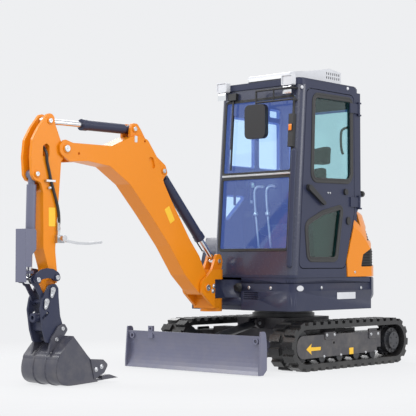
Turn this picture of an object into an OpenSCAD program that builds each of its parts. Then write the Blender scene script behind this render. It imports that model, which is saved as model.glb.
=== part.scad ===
// Mini excavator with cab, rubber tracks, dozer blade, swing boom, arm and bucket on a quick hitch.
// X points forward, Y to the left and Z up; the drawing origin is the slew axis on the ground.

/* [Undercarriage] */
// Width over both tracks and over the blade
overall_w = 1500; // [1400:10:1700]
// Width of one rubber track
track_w = 250; // [220:5:280]
// Height of a track to its lug tips
track_h = 406; // [390:2:430]
// Idler axle, forward of the slew axis
idler_x = 640; // [600:5:700]
// Sprocket axle, behind the slew axis
sprocket_x = 680; // [640:5:740]
// Thickness of the rubber belt under the lugs
belt_t = 34; // [28:1:40]
// Height of a lug
lug_h = 26; // [20:1:32]
// Number of lugs in one column of a track
lug_count = 36; // [30:2:40]
// Radius of the slew bearing
slew_r = 280; // [250:5:320]
// Top of the carbody
carbody_top = 420; // [400:5:440]

/* [Blade] */
// Cutting edge of the blade, forward of the slew axis
blade_x = 1260; // [1200:5:1320]
// Height of the blade
blade_h = 310; // [280:5:330]
// Gap under the parked blade
blade_lift = 8; // [6:1:20]
// Thickness of the blade plate
blade_t = 16; // [12:1:22]

/* [House] */
// Front of the house, forward of the slew axis
house_x = 825; // [800:5:850]
// Half width of the house
house_hw = 745; // [720:5:760]
// Swing radius of the tail
tail_r = 807; // [780:1:840]
// Underside of the house
house_z = 500; // [490:2:510]
// Top of the lower skirt panels
skirt_top = 775; // [755:5:795]
// Thickness of skirt panels, covers and hood
panel_t = 26; // [20:1:32]
// Top of the engine hood
hood_top = 1400; // [1370:5:1430]

/* [Cab] */
// Right face of the cab
cab_right = -135; // [-160:5:-120]
// Rear face of the cab
cab_rear = -150; // [-170:5:-140]
// Top of the cab roof
roof_top = 2440; // [2400:5:2480]
// Thickness of the cab walls and of the door
wall_t = 42; // [36:1:50]
// Lean of the windshield from upright in degrees
rake = 4.5; // [3:0.1:6]
// Radius of the front corner posts
post_r = 62; // [50:1:75]
// Gap round the door and other moving panels
door_gap = 6; // [5:0.5:8]

/* [Boom and arm] */
// King pin of the swing post, forward of the slew axis
king_x = 984; // [970:2:1000]
// Half width of the boom
boom_hw = 80; // [72:1:90]
// Half width of the arm
arm_hw = 58; // [52:1:62]
// Side clearance of a pinned joint
pin_gap = 4; // [3:0.5:6]
// Radius of the boom foot pin
pin_r = 24; // [20:1:28]
// Radius of the main cylinder barrels
barrel_r = 42; // [38:1:46]
// Radius of the main cylinder rods
rod_r = 22; // [18:1:26]

/* [Bucket] */
// Width of the bucket
bucket_w = 390; // [350:10:450]
// Thickness of the bucket plates
bucket_t = 14; // [10:1:18]
// Number of bucket teeth
tooth_count = 4; // [3:1:5]

/* [Hidden] */
$fn = 64;

// Colours of the machine
orange = "#f08a1c";
slate = "#3a3f4a";
steel_grey = "#6a6f78";
dark = "#22252b";
rubber = "#1b1b1c";
white = "#eceeef";
chrome = "#c9ccd0";
glass_tint = "#7f93a0";

// Undercarriage layout
half_w = overall_w / 2;
track_in = half_w - track_w;
track_r = track_h / 2;
axle_z = track_r;
loop_r = track_r - lug_h - belt_t;
wheel_r = loop_r - 2;
frame_in = track_in + 45;
frame_out = half_w - 42;
rear_x = -(sprocket_x + track_r);
blade_pivot = [360, 190];
blade_eye = [blade_x - 172, 235];
blade_barrel_pin = [400, 372];
blade_arm_y = 250;

// Swing post, boom, arm and bucket pins, as [x, z]
nose_hw = 68;
boom_foot = [king_x + 166, house_z + 192];
post_lug = [king_x - 32, house_z + 412];
boom_lug = boom_foot + [472, 945];
crest_pin = boom_foot + [805, 1258];
boom_tip = boom_foot + [1537, 1051];
arm_lever = boom_tip + [146, 197];
arm_end = boom_tip + [127, -1046];
rocker_pin = arm_end + [-22, 92];
rocker_tip = arm_end + [159, 77];
hitch_pin = arm_end + [59, -82];
dump_pin = boom_tip + [268, -202];
guard_x = rocker_tip[0] + 82;
mid_x = (guard_x + rear_x) / 2;

// Half widths of the pinned joints
eye_hw = 28;
ear_in = eye_hw + pin_gap;
ear_t = 20;
small_pin_r = 18;
link_in = ear_in + 14;
link_t = 12;
hitch_t = 18;
hitch_in = arm_hw + pin_gap;
hitch_out = hitch_in + hitch_t;
rocker_in = hitch_out + pin_gap;
rocker_t = 14;
end_hw = ear_in + 10;
end_r = 74;

// Lengths of the four boom cylinders from pin to pin when drawn in, and the bore's closed end
boom_short = 785;
arm_short = 570;
bucket_short = 600;
blade_short = 560;
bore_end = 72;
eye_reach = 76;
slide_gap = 0.4;

// Cab layout
door_knee = 1330;
cab_left = house_hw;
floor_z = skirt_top;
floor_t = 22;
cab_base = floor_z + floor_t;
roof_t = 58;
roof_under = roof_top - roof_t;
cab_x = house_x - 2;

function unit(v) = v / norm(v);
function turned(v, a) = [v[0] * cos(a) - v[1] * sin(a), v[0] * sin(a) + v[1] * cos(a)];

// Points of a round corner at p between its neighbours a and b
function corner(a, p, b, r, n) =
    r <= 0 ? [p] :
    let (
        u = unit(a - p),
        w = unit(b - p),
        half = acos(u * w) / 2,
        c = p + unit(u + w) * r / sin(half),
        s = p + u * r / tan(half) - c,
        way = u[0] * w[1] - u[1] * w[0] > 0 ? -1 : 1
    )
    [for (k = [0 : n]) c + turned(s, way * (180 - 2 * half) * k / n)];

// Outline with its corners rounded by one radius, or by a list of radii
function rounded(pts, r, n = 6) = [
    for (i = [0 : len(pts) - 1])
        each corner(
            pts[(i + len(pts) - 1) % len(pts)], pts[i], pts[(i + 1) % len(pts)],
            is_list(r) ? r[i] : r, n
        )
];

// x of the cab's front face at height z
function front_at(z) = cab_x - (z - floor_z) * tan(rake);

// The finished model stands with its middle over the origin
module placed() {
    translate([-mid_x, 0, 0]) children();
}

module box(x0, x1, y0, y1, z0, z1) {
    translate([x0, y0, z0]) cube([x1 - x0, y1 - y0, z1 - z0]);
}

// An outline in X and Z, thick in Y
module plate(pts, y0, y1) {
    translate([0, y1, 0]) rotate([90, 0, 0]) linear_extrude(y1 - y0) polygon(pts);
}

// The same outline on both sides of the middle
module twin_plates(pts, y0, y1) {
    plate(pts, y0, y1);
    plate(pts, -y1, -y0);
}

// An outline in X and Y, standing from z0 to z1
module slab(pts, z0, z1) {
    translate([0, 0, z0]) linear_extrude(z1 - z0) polygon(pts);
}

// A shaft along Y at the [x, z] point p
module shaft(p, r, y0, y1) {
    translate([p[0], y1, p[1]]) rotate([90, 0, 0]) cylinder(r = r, h = y1 - y0);
}

// A shaft on side s, between two distances from the middle
module side_shaft(s, p, r, a, b) {
    shaft(p, r, min(s * a, s * b), max(s * a, s * b));
}

// An outline on side s, between two distances from the middle
module side_plate(s, pts, a, b) {
    plate(pts, min(s * a, s * b), max(s * a, s * b));
}

// Children drawn along +X are laid from a towards b
module along(a, b) {
    translate([a[0], 0, a[1]]) rotate([0, -atan2(b[1] - a[1], b[0] - a[0]), 0]) children();
}

module xcyl(r, x0, x1) {
    translate([x0, 0, 0]) rotate([0, 90, 0]) cylinder(r = r, h = x1 - x0);
}

// Cylinder barrel with its eye at the origin, a gland at its open end and a bore for the rod
module barrel(short, r, bore) {
    mouth = short - 52;
    difference() {
        union() {
            xcyl(eye_hw - 2, 0, eye_reach + 6);
            xcyl(r, eye_reach, mouth);
            xcyl(r + 4, mouth - 46, mouth);
            rotate([90, 0, 0]) cylinder(r = small_pin_r + 16, h = 2 * eye_hw, center = true);
        }
        xcyl(bore + slide_gap, bore_end, short);
        rotate([90, 0, 0]) cylinder(r = small_pin_r + slide_gap, h = 4 * eye_hw, center = true);
    }
}

// Cylinder rod that reaches to its eye at distance reach, with the pin's middle in the eye
module rod(short, reach, r) {
    xcyl(r, reach - (short - bore_end), reach - 18);
    translate([reach, 0, 0]) rotate([90, 0, 0]) cylinder(r = r + 14, h = 2 * eye_hw, center = true);
    translate([reach, 0, 0]) rotate([90, 0, 0])
        cylinder(r = small_pin_r, h = 2 * (ear_in - 1), center = true);
}

// Two ears with pin heads on their outer faces
module pin_heads(p, y, r) {
    for (s = [-1, 1])
        shaft(p, r, min(s * y, s * (y + 7)), max(s * y, s * (y + 7)));
}

// Undercarriage

module carbody() {
    ear = rounded([[300, 240], [300, 150], [405, 150], [405, 232]], [0, 30, 40, 30]);
    lug = rounded([[320, 335], [400, 325], [444, 350], [444, 405], [400, 415], [320, 415]], [0, 30, 24, 24, 30, 0]);
    placed() color(slate) difference() {
        union() {
            slab(rounded([[-330, -300], [330, -300], [330, 300], [-330, 300]], 70), 235, carbody_top);
            for (s = [-1, 1])
                box(s * 260 - 75, s * 260 + 75, -frame_in, frame_in, 195, 325);
            for (y = [-blade_arm_y, blade_arm_y]) {
                plate(ear, y - 46, y - 28);
                plate(ear, y + 28, y + 46);
            }
            twin_plates(lug, ear_in, ear_in + ear_t);
            shaft(blade_barrel_pin, small_pin_r, -ear_in - ear_t, ear_in + ear_t);
        }
        for (y = [-blade_arm_y, blade_arm_y]) {
            shaft(blade_pivot, small_pin_r + slide_gap, y - 50, y + 50);
            shaft(blade_pivot, 62, y - 28, y + 28);
        }
    }
}

module slew_ring() {
    placed() color(dark) difference() {
        union() {
            translate([0, 0, carbody_top]) cylinder(r = slew_r, h = 34);
            translate([0, 0, carbody_top + 34]) cylinder(r = slew_r - 18, h = house_z - carbody_top - 34.5);
        }
        translate([0, 0, carbody_top - 1]) cylinder(r = slew_r - 90, h = house_z - carbody_top + 2);
    }
}

// Side frame of one track: a cover plate hides the idler, hangers hold the rollers
roller_r = 44;
roller_axle_r = 20;
roller_z = axle_z - loop_r + roller_r + 0.3;
roller_x = [-380, -130, 120, 370];
motor_plate_t = 16;
wheel_mid = half_w - track_w / 2;

module track_frame(s) {
    z_low = axle_z - 50;
    z_top = axle_z + 92;
    rear = -500;
    front = idler_x - wheel_r - 14;
    cover = rounded(
        [[-425, axle_z - 88], [idler_x + 98, axle_z - 100], [idler_x + 98, z_top], [-425, z_top]],
        [20, 88, 88, 20]
    );
    motor_plate = concat(
        [[rear + 20, axle_z + 90], [-sprocket_x, axle_z + 98]],
        [for (k = [7 : 17]) [-sprocket_x + 98 * cos(15 * k), axle_z + 98 * sin(15 * k)]],
        [[-sprocket_x, axle_z - 98], [rear + 20, z_low]]
    );
    placed() color(slate) difference() {
        union() {
            side_plate(s, [[rear, z_low], [front, z_low], [front, z_top], [rear, z_top]], frame_in, frame_out);
            side_plate(s, cover, frame_out, frame_out + 12);
            side_plate(s, rounded([[-300, z_top - 4], [-424, z_top - 4], [-424, z_top + 26], [-300, z_top + 26]], 8),
                frame_out, frame_out + 12);
            side_plate(s, rounded([[360, z_top - 4], [295, z_top - 4], [295, z_top + 20], [360, z_top + 20]], 8),
                frame_out, frame_out + 12);
            side_plate(s, motor_plate, frame_in, frame_in + motor_plate_t);
            for (x = roller_x)
                side_plate(s, [[x - 30, roller_z - 26], [x + 30, roller_z - 26], [x + 36, z_low + 1], [x - 36, z_low + 1]],
                    wheel_mid - 22, wheel_mid + 22);
        }
        side_shaft(s, [222, axle_z + 18], 12, frame_out - 10, frame_out + 20);
        for (x = roller_x)
            side_shaft(s, [x, roller_z], roller_axle_r + 0.2, wheel_mid - 30, wheel_mid + 30);
    }
}

module track_frame_left() {
    track_frame(1);
}

module track_frame_right() {
    track_frame(-1);
}

// Bottom rollers in pairs on their axles, and one top roller at the inner face of each frame
module track_rollers() {
    top_r = 30;
    y0 = track_in + 30;
    placed() color(dark) for (s = [-1, 1]) {
        for (x = roller_x) {
            side_shaft(s, [x, roller_z], roller_r, y0, y0 + 40);
            side_shaft(s, [x, roller_z], roller_r, frame_out - 40, frame_out - 4);
            side_shaft(s, [x, roller_z], roller_axle_r, y0, frame_out - 4);
        }
        side_shaft(s, [-60, axle_z + loop_r - top_r - 0.3], top_r, y0, frame_in);
    }
}

module idlers() {
    placed() color(dark) for (s = [-1, 1]) {
        side_shaft(s, [idler_x, axle_z], wheel_r, wheel_mid - 45, wheel_mid + 45);
        side_shaft(s, [idler_x, axle_z], wheel_r - 34, wheel_mid - 62, wheel_mid + 62);
        side_shaft(s, [idler_x, axle_z], 30, wheel_mid, frame_out);
    }
}

module sprockets() {
    teeth = 13;
    tooth_r = wheel_r - 2;
    root_r = wheel_r - 20;
    axle = [-sprocket_x, axle_z];
    wheel = [
        for (k = [0 : teeth - 1])
            each [for (q = [[0, root_r], [0.28, root_r], [0.42, tooth_r], [0.86, tooth_r]])
                let (a = 360 * (k + q[0]) / teeth)
                axle + q[1] * [cos(a), sin(a)]]
    ];
    placed() color(dark) for (s = [-1, 1]) {
        side_plate(s, wheel, wheel_mid - 22, wheel_mid + 22);
        side_shaft(s, axle, 112, wheel_mid + 22, wheel_mid + 80);
        side_shaft(s, axle, 78, wheel_mid + 80, half_w - 18);
        side_shaft(s, axle, 95, frame_in + motor_plate_t, wheel_mid - 22);
    }
}

// Rubber track: a belt round both end wheels with two staggered columns of lugs
belt_r = loop_r + belt_t;
straight = idler_x + sprocket_x;
bend = PI * belt_r;
loop_len = 2 * (straight + bend);
lug_pitch = loop_len / lug_count;
lug_w = 0.43 * track_w;

// Point at the way d along the belt, counted forward from under the sprocket, and at radius r
function on_loop(d, r) =
    d < straight ? [-sprocket_x + d, axle_z - r] :
    d < straight + bend ? let (a = 180 * (d - straight) / bend - 90) [idler_x, axle_z] + r * [cos(a), sin(a)] :
    d < 2 * straight + bend ? [idler_x - (d - straight - bend), axle_z + r] :
    let (a = 180 * (d - 2 * straight - bend) / bend + 90) [-sprocket_x, axle_z] + r * [cos(a), sin(a)];

function loop_points(r) = concat(
    [for (k = [-12 : 12]) [idler_x + r * cos(7.5 * k), axle_z + r * sin(7.5 * k)]],
    [for (k = [12 : 36]) [-sprocket_x + r * cos(7.5 * k), axle_z + r * sin(7.5 * k)]]
);

function lug_points(shift) = [
    for (k = [0 : lug_count - 1])
        let (d = (k + shift) * lug_pitch)
        each [for (q = [[-0.31, belt_r], [-0.25, track_r], [0.25, track_r], [0.31, belt_r]])
            on_loop((d + q[0] * lug_pitch + loop_len) % loop_len, q[1])]
];

module track(s) {
    placed() color(rubber) difference() {
        union() {
            side_plate(s, lug_points(0), track_in, track_in + lug_w);
            side_plate(s, loop_points(belt_r), track_in + lug_w, half_w - lug_w);
            side_plate(s, lug_points(0.5), half_w - lug_w, half_w);
        }
        side_plate(s, loop_points(loop_r), track_in - 10, half_w + 10);
    }
}

module track_left() {
    track(1);
}

module track_right() {
    track(-1);
}

// Points of the hollow blade face, set back by d
function blade_face(d) = [
    for (k = [0 : 10])
        let (t = k / 10)
        [blade_x - d - 18 * t - 180 * t * (1 - t), blade_lift + blade_h * t]
];

module blade() {
    face = blade_face(0);
    back = blade_face(blade_t);
    top = blade_lift + blade_h;
    cheek = rounded(
        [
            [blade_x, blade_lift], [blade_x, blade_lift + 60], [blade_x - 22, top + 36], [blade_x - 82, top + 36],
            [blade_x - 96, top - 70], [blade_x - 96, blade_lift + 40], [blade_x - 50, blade_lift]
        ],
        [0, 0, 10, 30, 30, 20, 0]
    );
    arm_pts = rounded(
        [
            [blade_pivot[0] - 38, blade_pivot[1] - 38], [blade_pivot[0] + 200, blade_pivot[1] - 52],
            [blade_x - 70, 70], [blade_x - 62, 180],
            [blade_pivot[0] + 200, blade_pivot[1] + 48], [blade_pivot[0] - 38, blade_pivot[1] + 38]
        ],
        [37, 30, 0, 0, 30, 37]
    );
    lug = rounded(
        [
            [blade_eye[0] - 36, blade_eye[1] - 40], [blade_x - 66, blade_eye[1] - 110],
            [blade_x - 62, blade_eye[1] + 20], [blade_eye[0] - 20, blade_eye[1] + 36]
        ],
        [34, 0, 0, 34]
    );
    placed() color(slate) difference() {
        union() {
            plate(concat(face, [for (k = [10 : -1 : 0]) back[k]]), -half_w, half_w);
            for (s = [-1, 1])
                plate(cheek, s > 0 ? half_w - 14 : -half_w, s > 0 ? half_w : 14 - half_w);
            for (y = [-blade_arm_y, blade_arm_y]) {
                plate(arm_pts, y - 24, y + 24);
                shaft(blade_pivot, small_pin_r, y - 46, y + 46);
            }
            difference() {
                box(blade_x - 46, blade_x - 24, -half_w + 254, -half_w + 306, top - 60, top + 44);
                translate([blade_x - 50, 280 - half_w, top + 20]) rotate([0, 90, 0]) cylinder(r = 11, h = 40);
            }
            box(blade_x - 118, blade_x - 62, -blade_arm_y - 60, blade_arm_y + 60, 85, 175);
            twin_plates(lug, ear_in, ear_in + ear_t);
            pin_heads(blade_eye, ear_in + ear_t, small_pin_r + 6);
            for (s = [-1, 1])
                translate([blade_x - 65, s * (half_w - 60), top - 42]) rotate([0, 90, 0]) cylinder(r = 27, h = 41);
        }
        for (s = [-1, 1])
            translate([blade_x - 70, s * (half_w - 60), top - 42]) rotate([0, 90, 0]) cylinder(r = 14, h = 60);
    }
}

module blade_barrel() {
    placed() color(dark) along(blade_barrel_pin, blade_eye) barrel(blade_short, 34, 18);
}

module blade_rod() {
    placed() color(chrome) along(blade_barrel_pin, blade_eye)
        rod(blade_short, norm(blade_eye - blade_barrel_pin), 18);
}

// House

frame_front = house_x - panel_t;
frame_hw = house_hw - panel_t;
tail_split = -300;
weight_in = tail_r - 247;
hood_hw = 0.5824 * tail_r;
bulkhead_x = cab_rear - 6;
nose_gap = 195;
skirt_corner = 44;
slot_deep = 16;
nose_low = house_z + 105;
nose_top = house_z + 255;

module house_frame() {
    nose = concat(
        [[480, -190], [760, -190], [king_x - 110, -nose_hw]],
        [for (k = [-9 : 9]) [king_x + nose_hw * cos(10 * k), nose_hw * sin(10 * k)]],
        [[king_x - 110, nose_hw], [760, 190], [480, 190]]
    );
    placed() color(slate) difference() {
        union() {
            slab(rounded([[tail_split, -frame_hw], [frame_front, -frame_hw], [frame_front, frame_hw], [tail_split, frame_hw]],
                [0, skirt_corner, skirt_corner, 0]), house_z, house_z + 45);
            intersection() {
                translate([0, 0, house_z]) cylinder(r = weight_in - 0.3, h = 45);
                box(-weight_in, tail_split + 1, -frame_hw, frame_hw, house_z, house_z + 45);
            }
            slab(nose, nose_low, nose_top);
            box(480, frame_front + 20, -190, 190, house_z + 40, nose_low + 1);
            box(bulkhead_x - panel_t, bulkhead_x, -frame_hw, frame_hw, house_z + 40, cover_low);
            intersection() {
                rotate_extrude($fn = 128) polygon(cover_outline(panel_t));
                box(bulkhead_x - panel_t, bulkhead_x, -frame_hw, frame_hw, cover_low - 1, hood_top);
            }
        }
        translate([king_x, 0, nose_low - 1]) cylinder(r = 35 + slide_gap, h = nose_top - nose_low + 2);
        translate([0, 0, house_z - 1]) cylinder(r = slew_r - 110, h = 60);
    }
}

module skirt_ring(inset, z0, z1) {
    o = house_hw - inset;
    i = frame_hw;
    difference() {
        slab(rounded([[tail_split, -o], [house_x - inset, -o], [house_x - inset, o], [tail_split, o]],
            [0, skirt_corner + panel_t, skirt_corner + panel_t, 0]), z0, z1);
        slab(rounded([[tail_split - 1, -i], [frame_front, -i], [frame_front, i], [tail_split - 1, i]],
            [0, skirt_corner, skirt_corner, 0]), z0 - 1, z1 + 1);
    }
}

module skirt() {
    ledge = house_z + 164;
    seam = skirt_top - 50;
    placed() color(slate) difference() {
        union() {
            skirt_ring(0, house_z, ledge);
            skirt_ring(6, ledge, seam);
            skirt_ring(12, seam, seam + 6);
            skirt_ring(6, seam + 6, skirt_top);
        }
        box(frame_front - 5, house_x + 5, -nose_gap, nose_gap, house_z - 1, skirt_top + 1);
        for (k = [0 : 3])
            box(house_x - slot_deep, house_x + 5, nose_gap + 26, nose_gap + 188, house_z + 92 + 17 * k, house_z + 101 + 17 * k);
    }
}

module counterweight() {
    outline = rounded(
        [[weight_in, house_z], [tail_r - 70, house_z], [tail_r, house_z + 110], [tail_r, skirt_top], [weight_in, skirt_top]],
        [0, 30, 60, 14, 0]
    );
    placed() color(slate) intersection() {
        rotate_extrude($fn = 128) polygon(outline);
        box(-tail_r - 1, tail_split - 1, -house_hw, house_hw, house_z, skirt_top);
    }
}

module engine() {
    placed() color(dark) union() {
        box(90 - weight_in, -200, -260, 260, house_z + 45, house_z + 420);
        box(120 - weight_in, -230, -200, 200, house_z + 419, house_z + 560);
        translate([-340, 200, house_z + 419]) cylinder(r = 60, h = 190);
    }
}

// Tail covers and hood: one revolved shell, cut into three
cover_low = skirt_top + 5;

function cover_outline(d) = rounded(
    [
        [0, d > 0 ? cover_low - 1 : cover_low], [tail_r - d, d > 0 ? cover_low - 1 : cover_low],
        [tail_r - d, cover_low + 225], [tail_r - 100 - d, hood_top - 70],
        [tail_r - 190 - d, hood_top - d], [0, hood_top - d]
    ],
    [0, 0, 160, 50, 70, 0]
);

module cover_shell() {
    difference() {
        intersection() {
            rotate_extrude($fn = 128) polygon(cover_outline(0));
            box(-tail_r - 1, 120, -house_hw, house_hw, cover_low, hood_top);
        }
        intersection() {
            rotate_extrude($fn = 128) polygon(cover_outline(panel_t));
            box(-tail_r - 1, 130, -frame_hw, frame_hw, cover_low - 2, hood_top);
        }
    }
}

// Side view of the left cover: its front edge curves up behind the door
cover_front = rounded(
    [
        [-tail_r - 10, cover_low - 5], [50, cover_low - 5], [60, cover_low + 140],
        [-70, min(door_knee - 40, hood_top - 110)], [-150, hood_top + 5], [-tail_r - 10, hood_top + 5]
    ],
    [0, 0, 60, 120, 0, 0]
);
hood_hinge = [bulkhead_x - panel_t - 32, hood_top - panel_t / 2];
hood_pin_r = 6;

// Louvred vents of the left cover in side view, and the bars in them
vents = [
    rounded([[-150, 866], [-182, 972], [-400, 1068], [-590, 1068], [-590, 880], [-320, 868]], [10, 12, 40, 20, 20, 30]),
    rounded([[-262, 1092], [-318, 1196], [-430, 1230], [-560, 1230], [-560, 1104]], [8, 14, 30, 16, 16])
];
bar_pitch = 24;
bar_h = 9;

module vent_cut(pts) {
    difference() {
        plate(pts, hood_hw + 40, house_hw + 1);
        intersection() {
            rotate_extrude($fn = 128) polygon(cover_outline(0.45 * panel_t));
            box(-tail_r, 0, hood_hw, house_hw - 0.45 * panel_t, cover_low, hood_top);
            for (z = [cover_low : bar_pitch : hood_top])
                translate([-tail_r, 0, z]) cube([tail_r, house_hw, bar_h]);
        }
    }
}

module side_cover_left() {
    placed() color(orange) difference() {
        intersection() {
            cover_shell();
            plate(cover_front, hood_hw + door_gap, house_hw + 1);
        }
        box(bulkhead_x - panel_t - 1, 130, 0, frame_hw, cover_low - 1, hood_top + 1);
        shaft(hood_hinge, hood_pin_r + slide_gap, 0, hood_hw + 26);
        for (pts = vents)
            vent_cut(pts);
    }
}

module side_cover_right() {
    placed() color(orange) difference() {
        intersection() {
            cover_shell();
            box(-tail_r - 1, bulkhead_x, -house_hw - 1, -hood_hw - door_gap, cover_low, hood_top);
        }
        box(bulkhead_x - panel_t - 1, 130, -frame_hw, 0, cover_low - 1, hood_top + 1);
        shaft(hood_hinge, hood_pin_r + slide_gap, -hood_hw - 26, 0);
    }
}

module hood() {
    placed() color(orange) union() {
        intersection() {
            cover_shell();
            box(-tail_r - 1, hood_hinge[0] + 20, -hood_hw, hood_hw, cover_low, hood_top);
        }
        for (s = [-1, 1])
            shaft(hood_hinge, hood_pin_r, min(s * (hood_hw - 30), s * (hood_hw + 20)), max(s * (hood_hw - 30), s * (hood_hw + 20)));
    }
}

module tank_cover() {
    x0 = bulkhead_x;
    side = rounded(
        [[x0, skirt_top], [house_x - 60, skirt_top], [house_x - 110, cover_low + 200], [house_x - 330, cover_low + 345], [x0, cover_low + 360]],
        [0, 40, 120, 160, 0]
    );
    plan = rounded(
        [[x0, -house_hw], [house_x, -house_hw], [house_x, cab_right - 12], [x0, cab_right - 12]],
        [0, 120, 20, 0]
    );
    placed() color(orange) intersection() {
        plate(side, -house_hw, cab_right);
        slab(plan, skirt_top, hood_top);
    }
}

// Cab

wall_in = cab_left - wall_t;
glass_t = 6;
glass_y = wall_t / 2;
sill_z = 1000;
head_z = 2290;
sash_z = 1636;
door_low = 855;
door_top = 2352;
door_rear = -50;
hinge = [-112, cab_left + 12];
hinge_heights = [1425, 2242];

// x of the edge where the corner post meets the side wall
function wall_front(z) = front_at(z) - post_r / cos(rake) - slide_gap / 2;

// Children drawn on an upright front are leaned back with the windshield
module raked() {
    translate([cab_x, 0, floor_z]) rotate([0, -rake, 0]) children();
}

// Height along the leaning front for a height above ground
function up_front(z) = (z - floor_z) / cos(rake);

module cab_floor() {
    pts = rounded(
        [
            [cab_rear, cab_right], [cab_x, cab_right], [cab_x, cab_left], [70, cab_left],
            [70, frame_hw - 4], [cab_rear, frame_hw - 4]
        ],
        [0, post_r, post_r, 0, 0, 0]
    );
    placed() color(slate) slab(pts, floor_z, cab_base);
}

module corner_post(y, s) {
    intersection() {
        translate([-post_r, y - s * post_r, -100]) cylinder(r = post_r, h = roof_top);
        translate([-post_r, s > 0 ? y - post_r : y, -100]) cube([post_r, post_r, roof_top]);
    }
}

module cab_front() {
    y0 = cab_right + post_r;
    y1 = cab_left - post_r;
    placed() color(slate) intersection() {
        raked() difference() {
            union() {
                box(-wall_t, 0, y0, y1, -100, roof_top);
                corner_post(cab_left, 1);
                corner_post(cab_right, -1);
            }
            difference() {
                box(-wall_t - 1, 1, y0, y1, up_front(sill_z), up_front(head_z));
                box(-wall_t, -4, y0 - 1, y1 + 1, up_front(sash_z - 16), up_front(sash_z + 16));
            }
        }
        box(0, house_x + 50, cab_right - 1, cab_left + 1, cab_base, roof_under);
    }
}

right_panes = [
    rounded([[270, 1740], [632, 1740], [600, 2180], [270, 2180]], 30),
    rounded([[-92, 1740], [226, 1740], [226, 2180], [-92, 2180]], 30),
    rounded([[390, 1490], [668, 1490], [684, 1270], [640, 1270]], [20, 20, 20, 20]),
    rounded([[-92, 2216], [70, 2216], [70, 2300], [-92, 2300]], 22)
];

module cab_right_wall() {
    outline = [
        [cab_rear, cab_base], [wall_front(cab_base), cab_base], [wall_front(roof_under), roof_under], [cab_rear, roof_under]
    ];
    placed() color(slate) difference() {
        plate(outline, cab_right, cab_right + wall_t);
        for (p = right_panes)
            plate(p, cab_right - 1, cab_right + wall_t + 1);
    }
}

rear_y = [cab_right + wall_t, wall_in];
rear_window = [rear_y[0] + 70, rear_y[1] - 70, 1480, 2250];

module cab_rear_wall() {
    placed() color(slate) difference() {
        box(cab_rear, cab_rear + wall_t, rear_y[0], rear_y[1], cab_base, roof_under);
        box(cab_rear - 1, cab_rear + wall_t + 1, rear_window[0], rear_window[1], rear_window[2], rear_window[3]);
    }
}

// Door outline, grown by g for the opening it sits in
function door_front(z, g) = wall_front(z) - 18 + g;
function door_outline(g) = rounded(
    [
        [94 - g, door_low - g], [door_front(door_low, g), door_low - g],
        [door_front(door_top, g), door_top + g], [door_rear - g, door_top + g], [door_rear - g, door_knee - g]
    ],
    [60, 50, 60, 50, 120]
);

module cab_left_frame() {
    outline = [
        [70, cab_base], [wall_front(cab_base), cab_base], [wall_front(roof_under), roof_under],
        [cab_rear, roof_under], [cab_rear, hood_top + 18], [-60, min(door_knee - 34, hood_top - 104)], [76, cover_low + 150]
    ];
    placed() color(slate) difference() {
        union() {
            plate(outline, wall_in, cab_left);
            for (z = hinge_heights) {
                box(cab_rear, hinge[0], cab_left - 1, hinge[1], z - 60, z - 46);
                box(cab_rear, hinge[0], cab_left - 1, hinge[1], z + 46, z + 60);
                translate([hinge[0], hinge[1], z - 60]) cylinder(r = 11, h = 14);
                translate([hinge[0], hinge[1], z + 46]) cylinder(r = 11, h = 14);
                translate([hinge[0], hinge[1], z - 60]) cylinder(r = 5, h = 120);
            }
        }
        plate(door_outline(door_gap), wall_in - 1, cab_left + 1);
    }
}

door_upper = rounded([[28, 1600], [556, 1588], [528, 2306], [-12, 2312], [-12, 1660]], [60, 60, 60, 40, 40]);
door_lower = rounded([[218, 926], [612, 926], [642, 1222], [413, 1318], [130, 1380]], [50, 50, 70, 40, 30]);

module door() {
    placed() color(slate) difference() {
        union() {
            plate(door_outline(0), wall_in, cab_left);
            for (z = hinge_heights) {
                box(door_rear - 1, door_rear + 66, cab_left - 1, hinge[1], z - 42, z + 42);
                box(hinge[0], door_rear, cab_left + 3, hinge[1], z - 42, z + 42);
                translate([hinge[0], hinge[1], z - 45]) cylinder(r = 11, h = 90);
            }
        }
        plate(door_upper, wall_in - 1, cab_left + 1);
        plate(door_lower, wall_in - 1, cab_left + 1);
        for (z = hinge_heights)
            translate([hinge[0], hinge[1], z - 70]) cylinder(r = 5 + slide_gap, h = 140);
    }
}

// Lever handle and lock on the outside of the door
module door_handle() {
    lever = rounded([[638, 1540], [600, 1546], [396, 1404], [402, 1384], [424, 1382], [632, 1506]], [16, 16, 10, 8, 10, 16]);
    placed() color(dark) {
        plate(lever, cab_left + 14, cab_left + 32);
        shaft([610, 1522], 27, cab_left, cab_left + 15);
        shaft([85, 1508], 26, cab_left, cab_left + 18);
        plate(rounded([[20, 1228], [70, 1228], [70, 1292], [20, 1292]], 20), cab_left, cab_left + 12);
    }
}

module door_glass() {
    placed() color(glass_tint) for (p = [door_upper, door_lower])
        plate(p, wall_in + glass_y, wall_in + glass_y + glass_t);
}

module cab_glass() {
    y0 = cab_right + post_r;
    y1 = cab_left - post_r;
    placed() color(glass_tint) {
        raked() {
            box(-26, -20, y0, y1, up_front(sill_z), up_front(sash_z - 16));
            box(-26, -20, y0, y1, up_front(sash_z + 16), up_front(head_z));
        }
        for (p = right_panes)
            plate(p, cab_right + glass_y, cab_right + glass_y + glass_t);
        box(cab_rear + glass_y, cab_rear + glass_y + glass_t, rear_window[0], rear_window[1], rear_window[2], rear_window[3]);
    }
}

roof_front = front_at(roof_under) + 10;

module cab_roof() {
    function roof_pts(d) = rounded(
        [[cab_rear + d, cab_right + d], [roof_front - d, cab_right + d], [roof_front - d, cab_left - d], [cab_rear + d, cab_left - d]],
        70 - d
    );
    placed() color(slate) union() {
        slab(roof_pts(0), roof_under, roof_top - 22);
        slab(roof_pts(8), roof_top - 22, roof_top - 8);
        slab(roof_pts(20), roof_top - 8, roof_top);
    }
}

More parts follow.
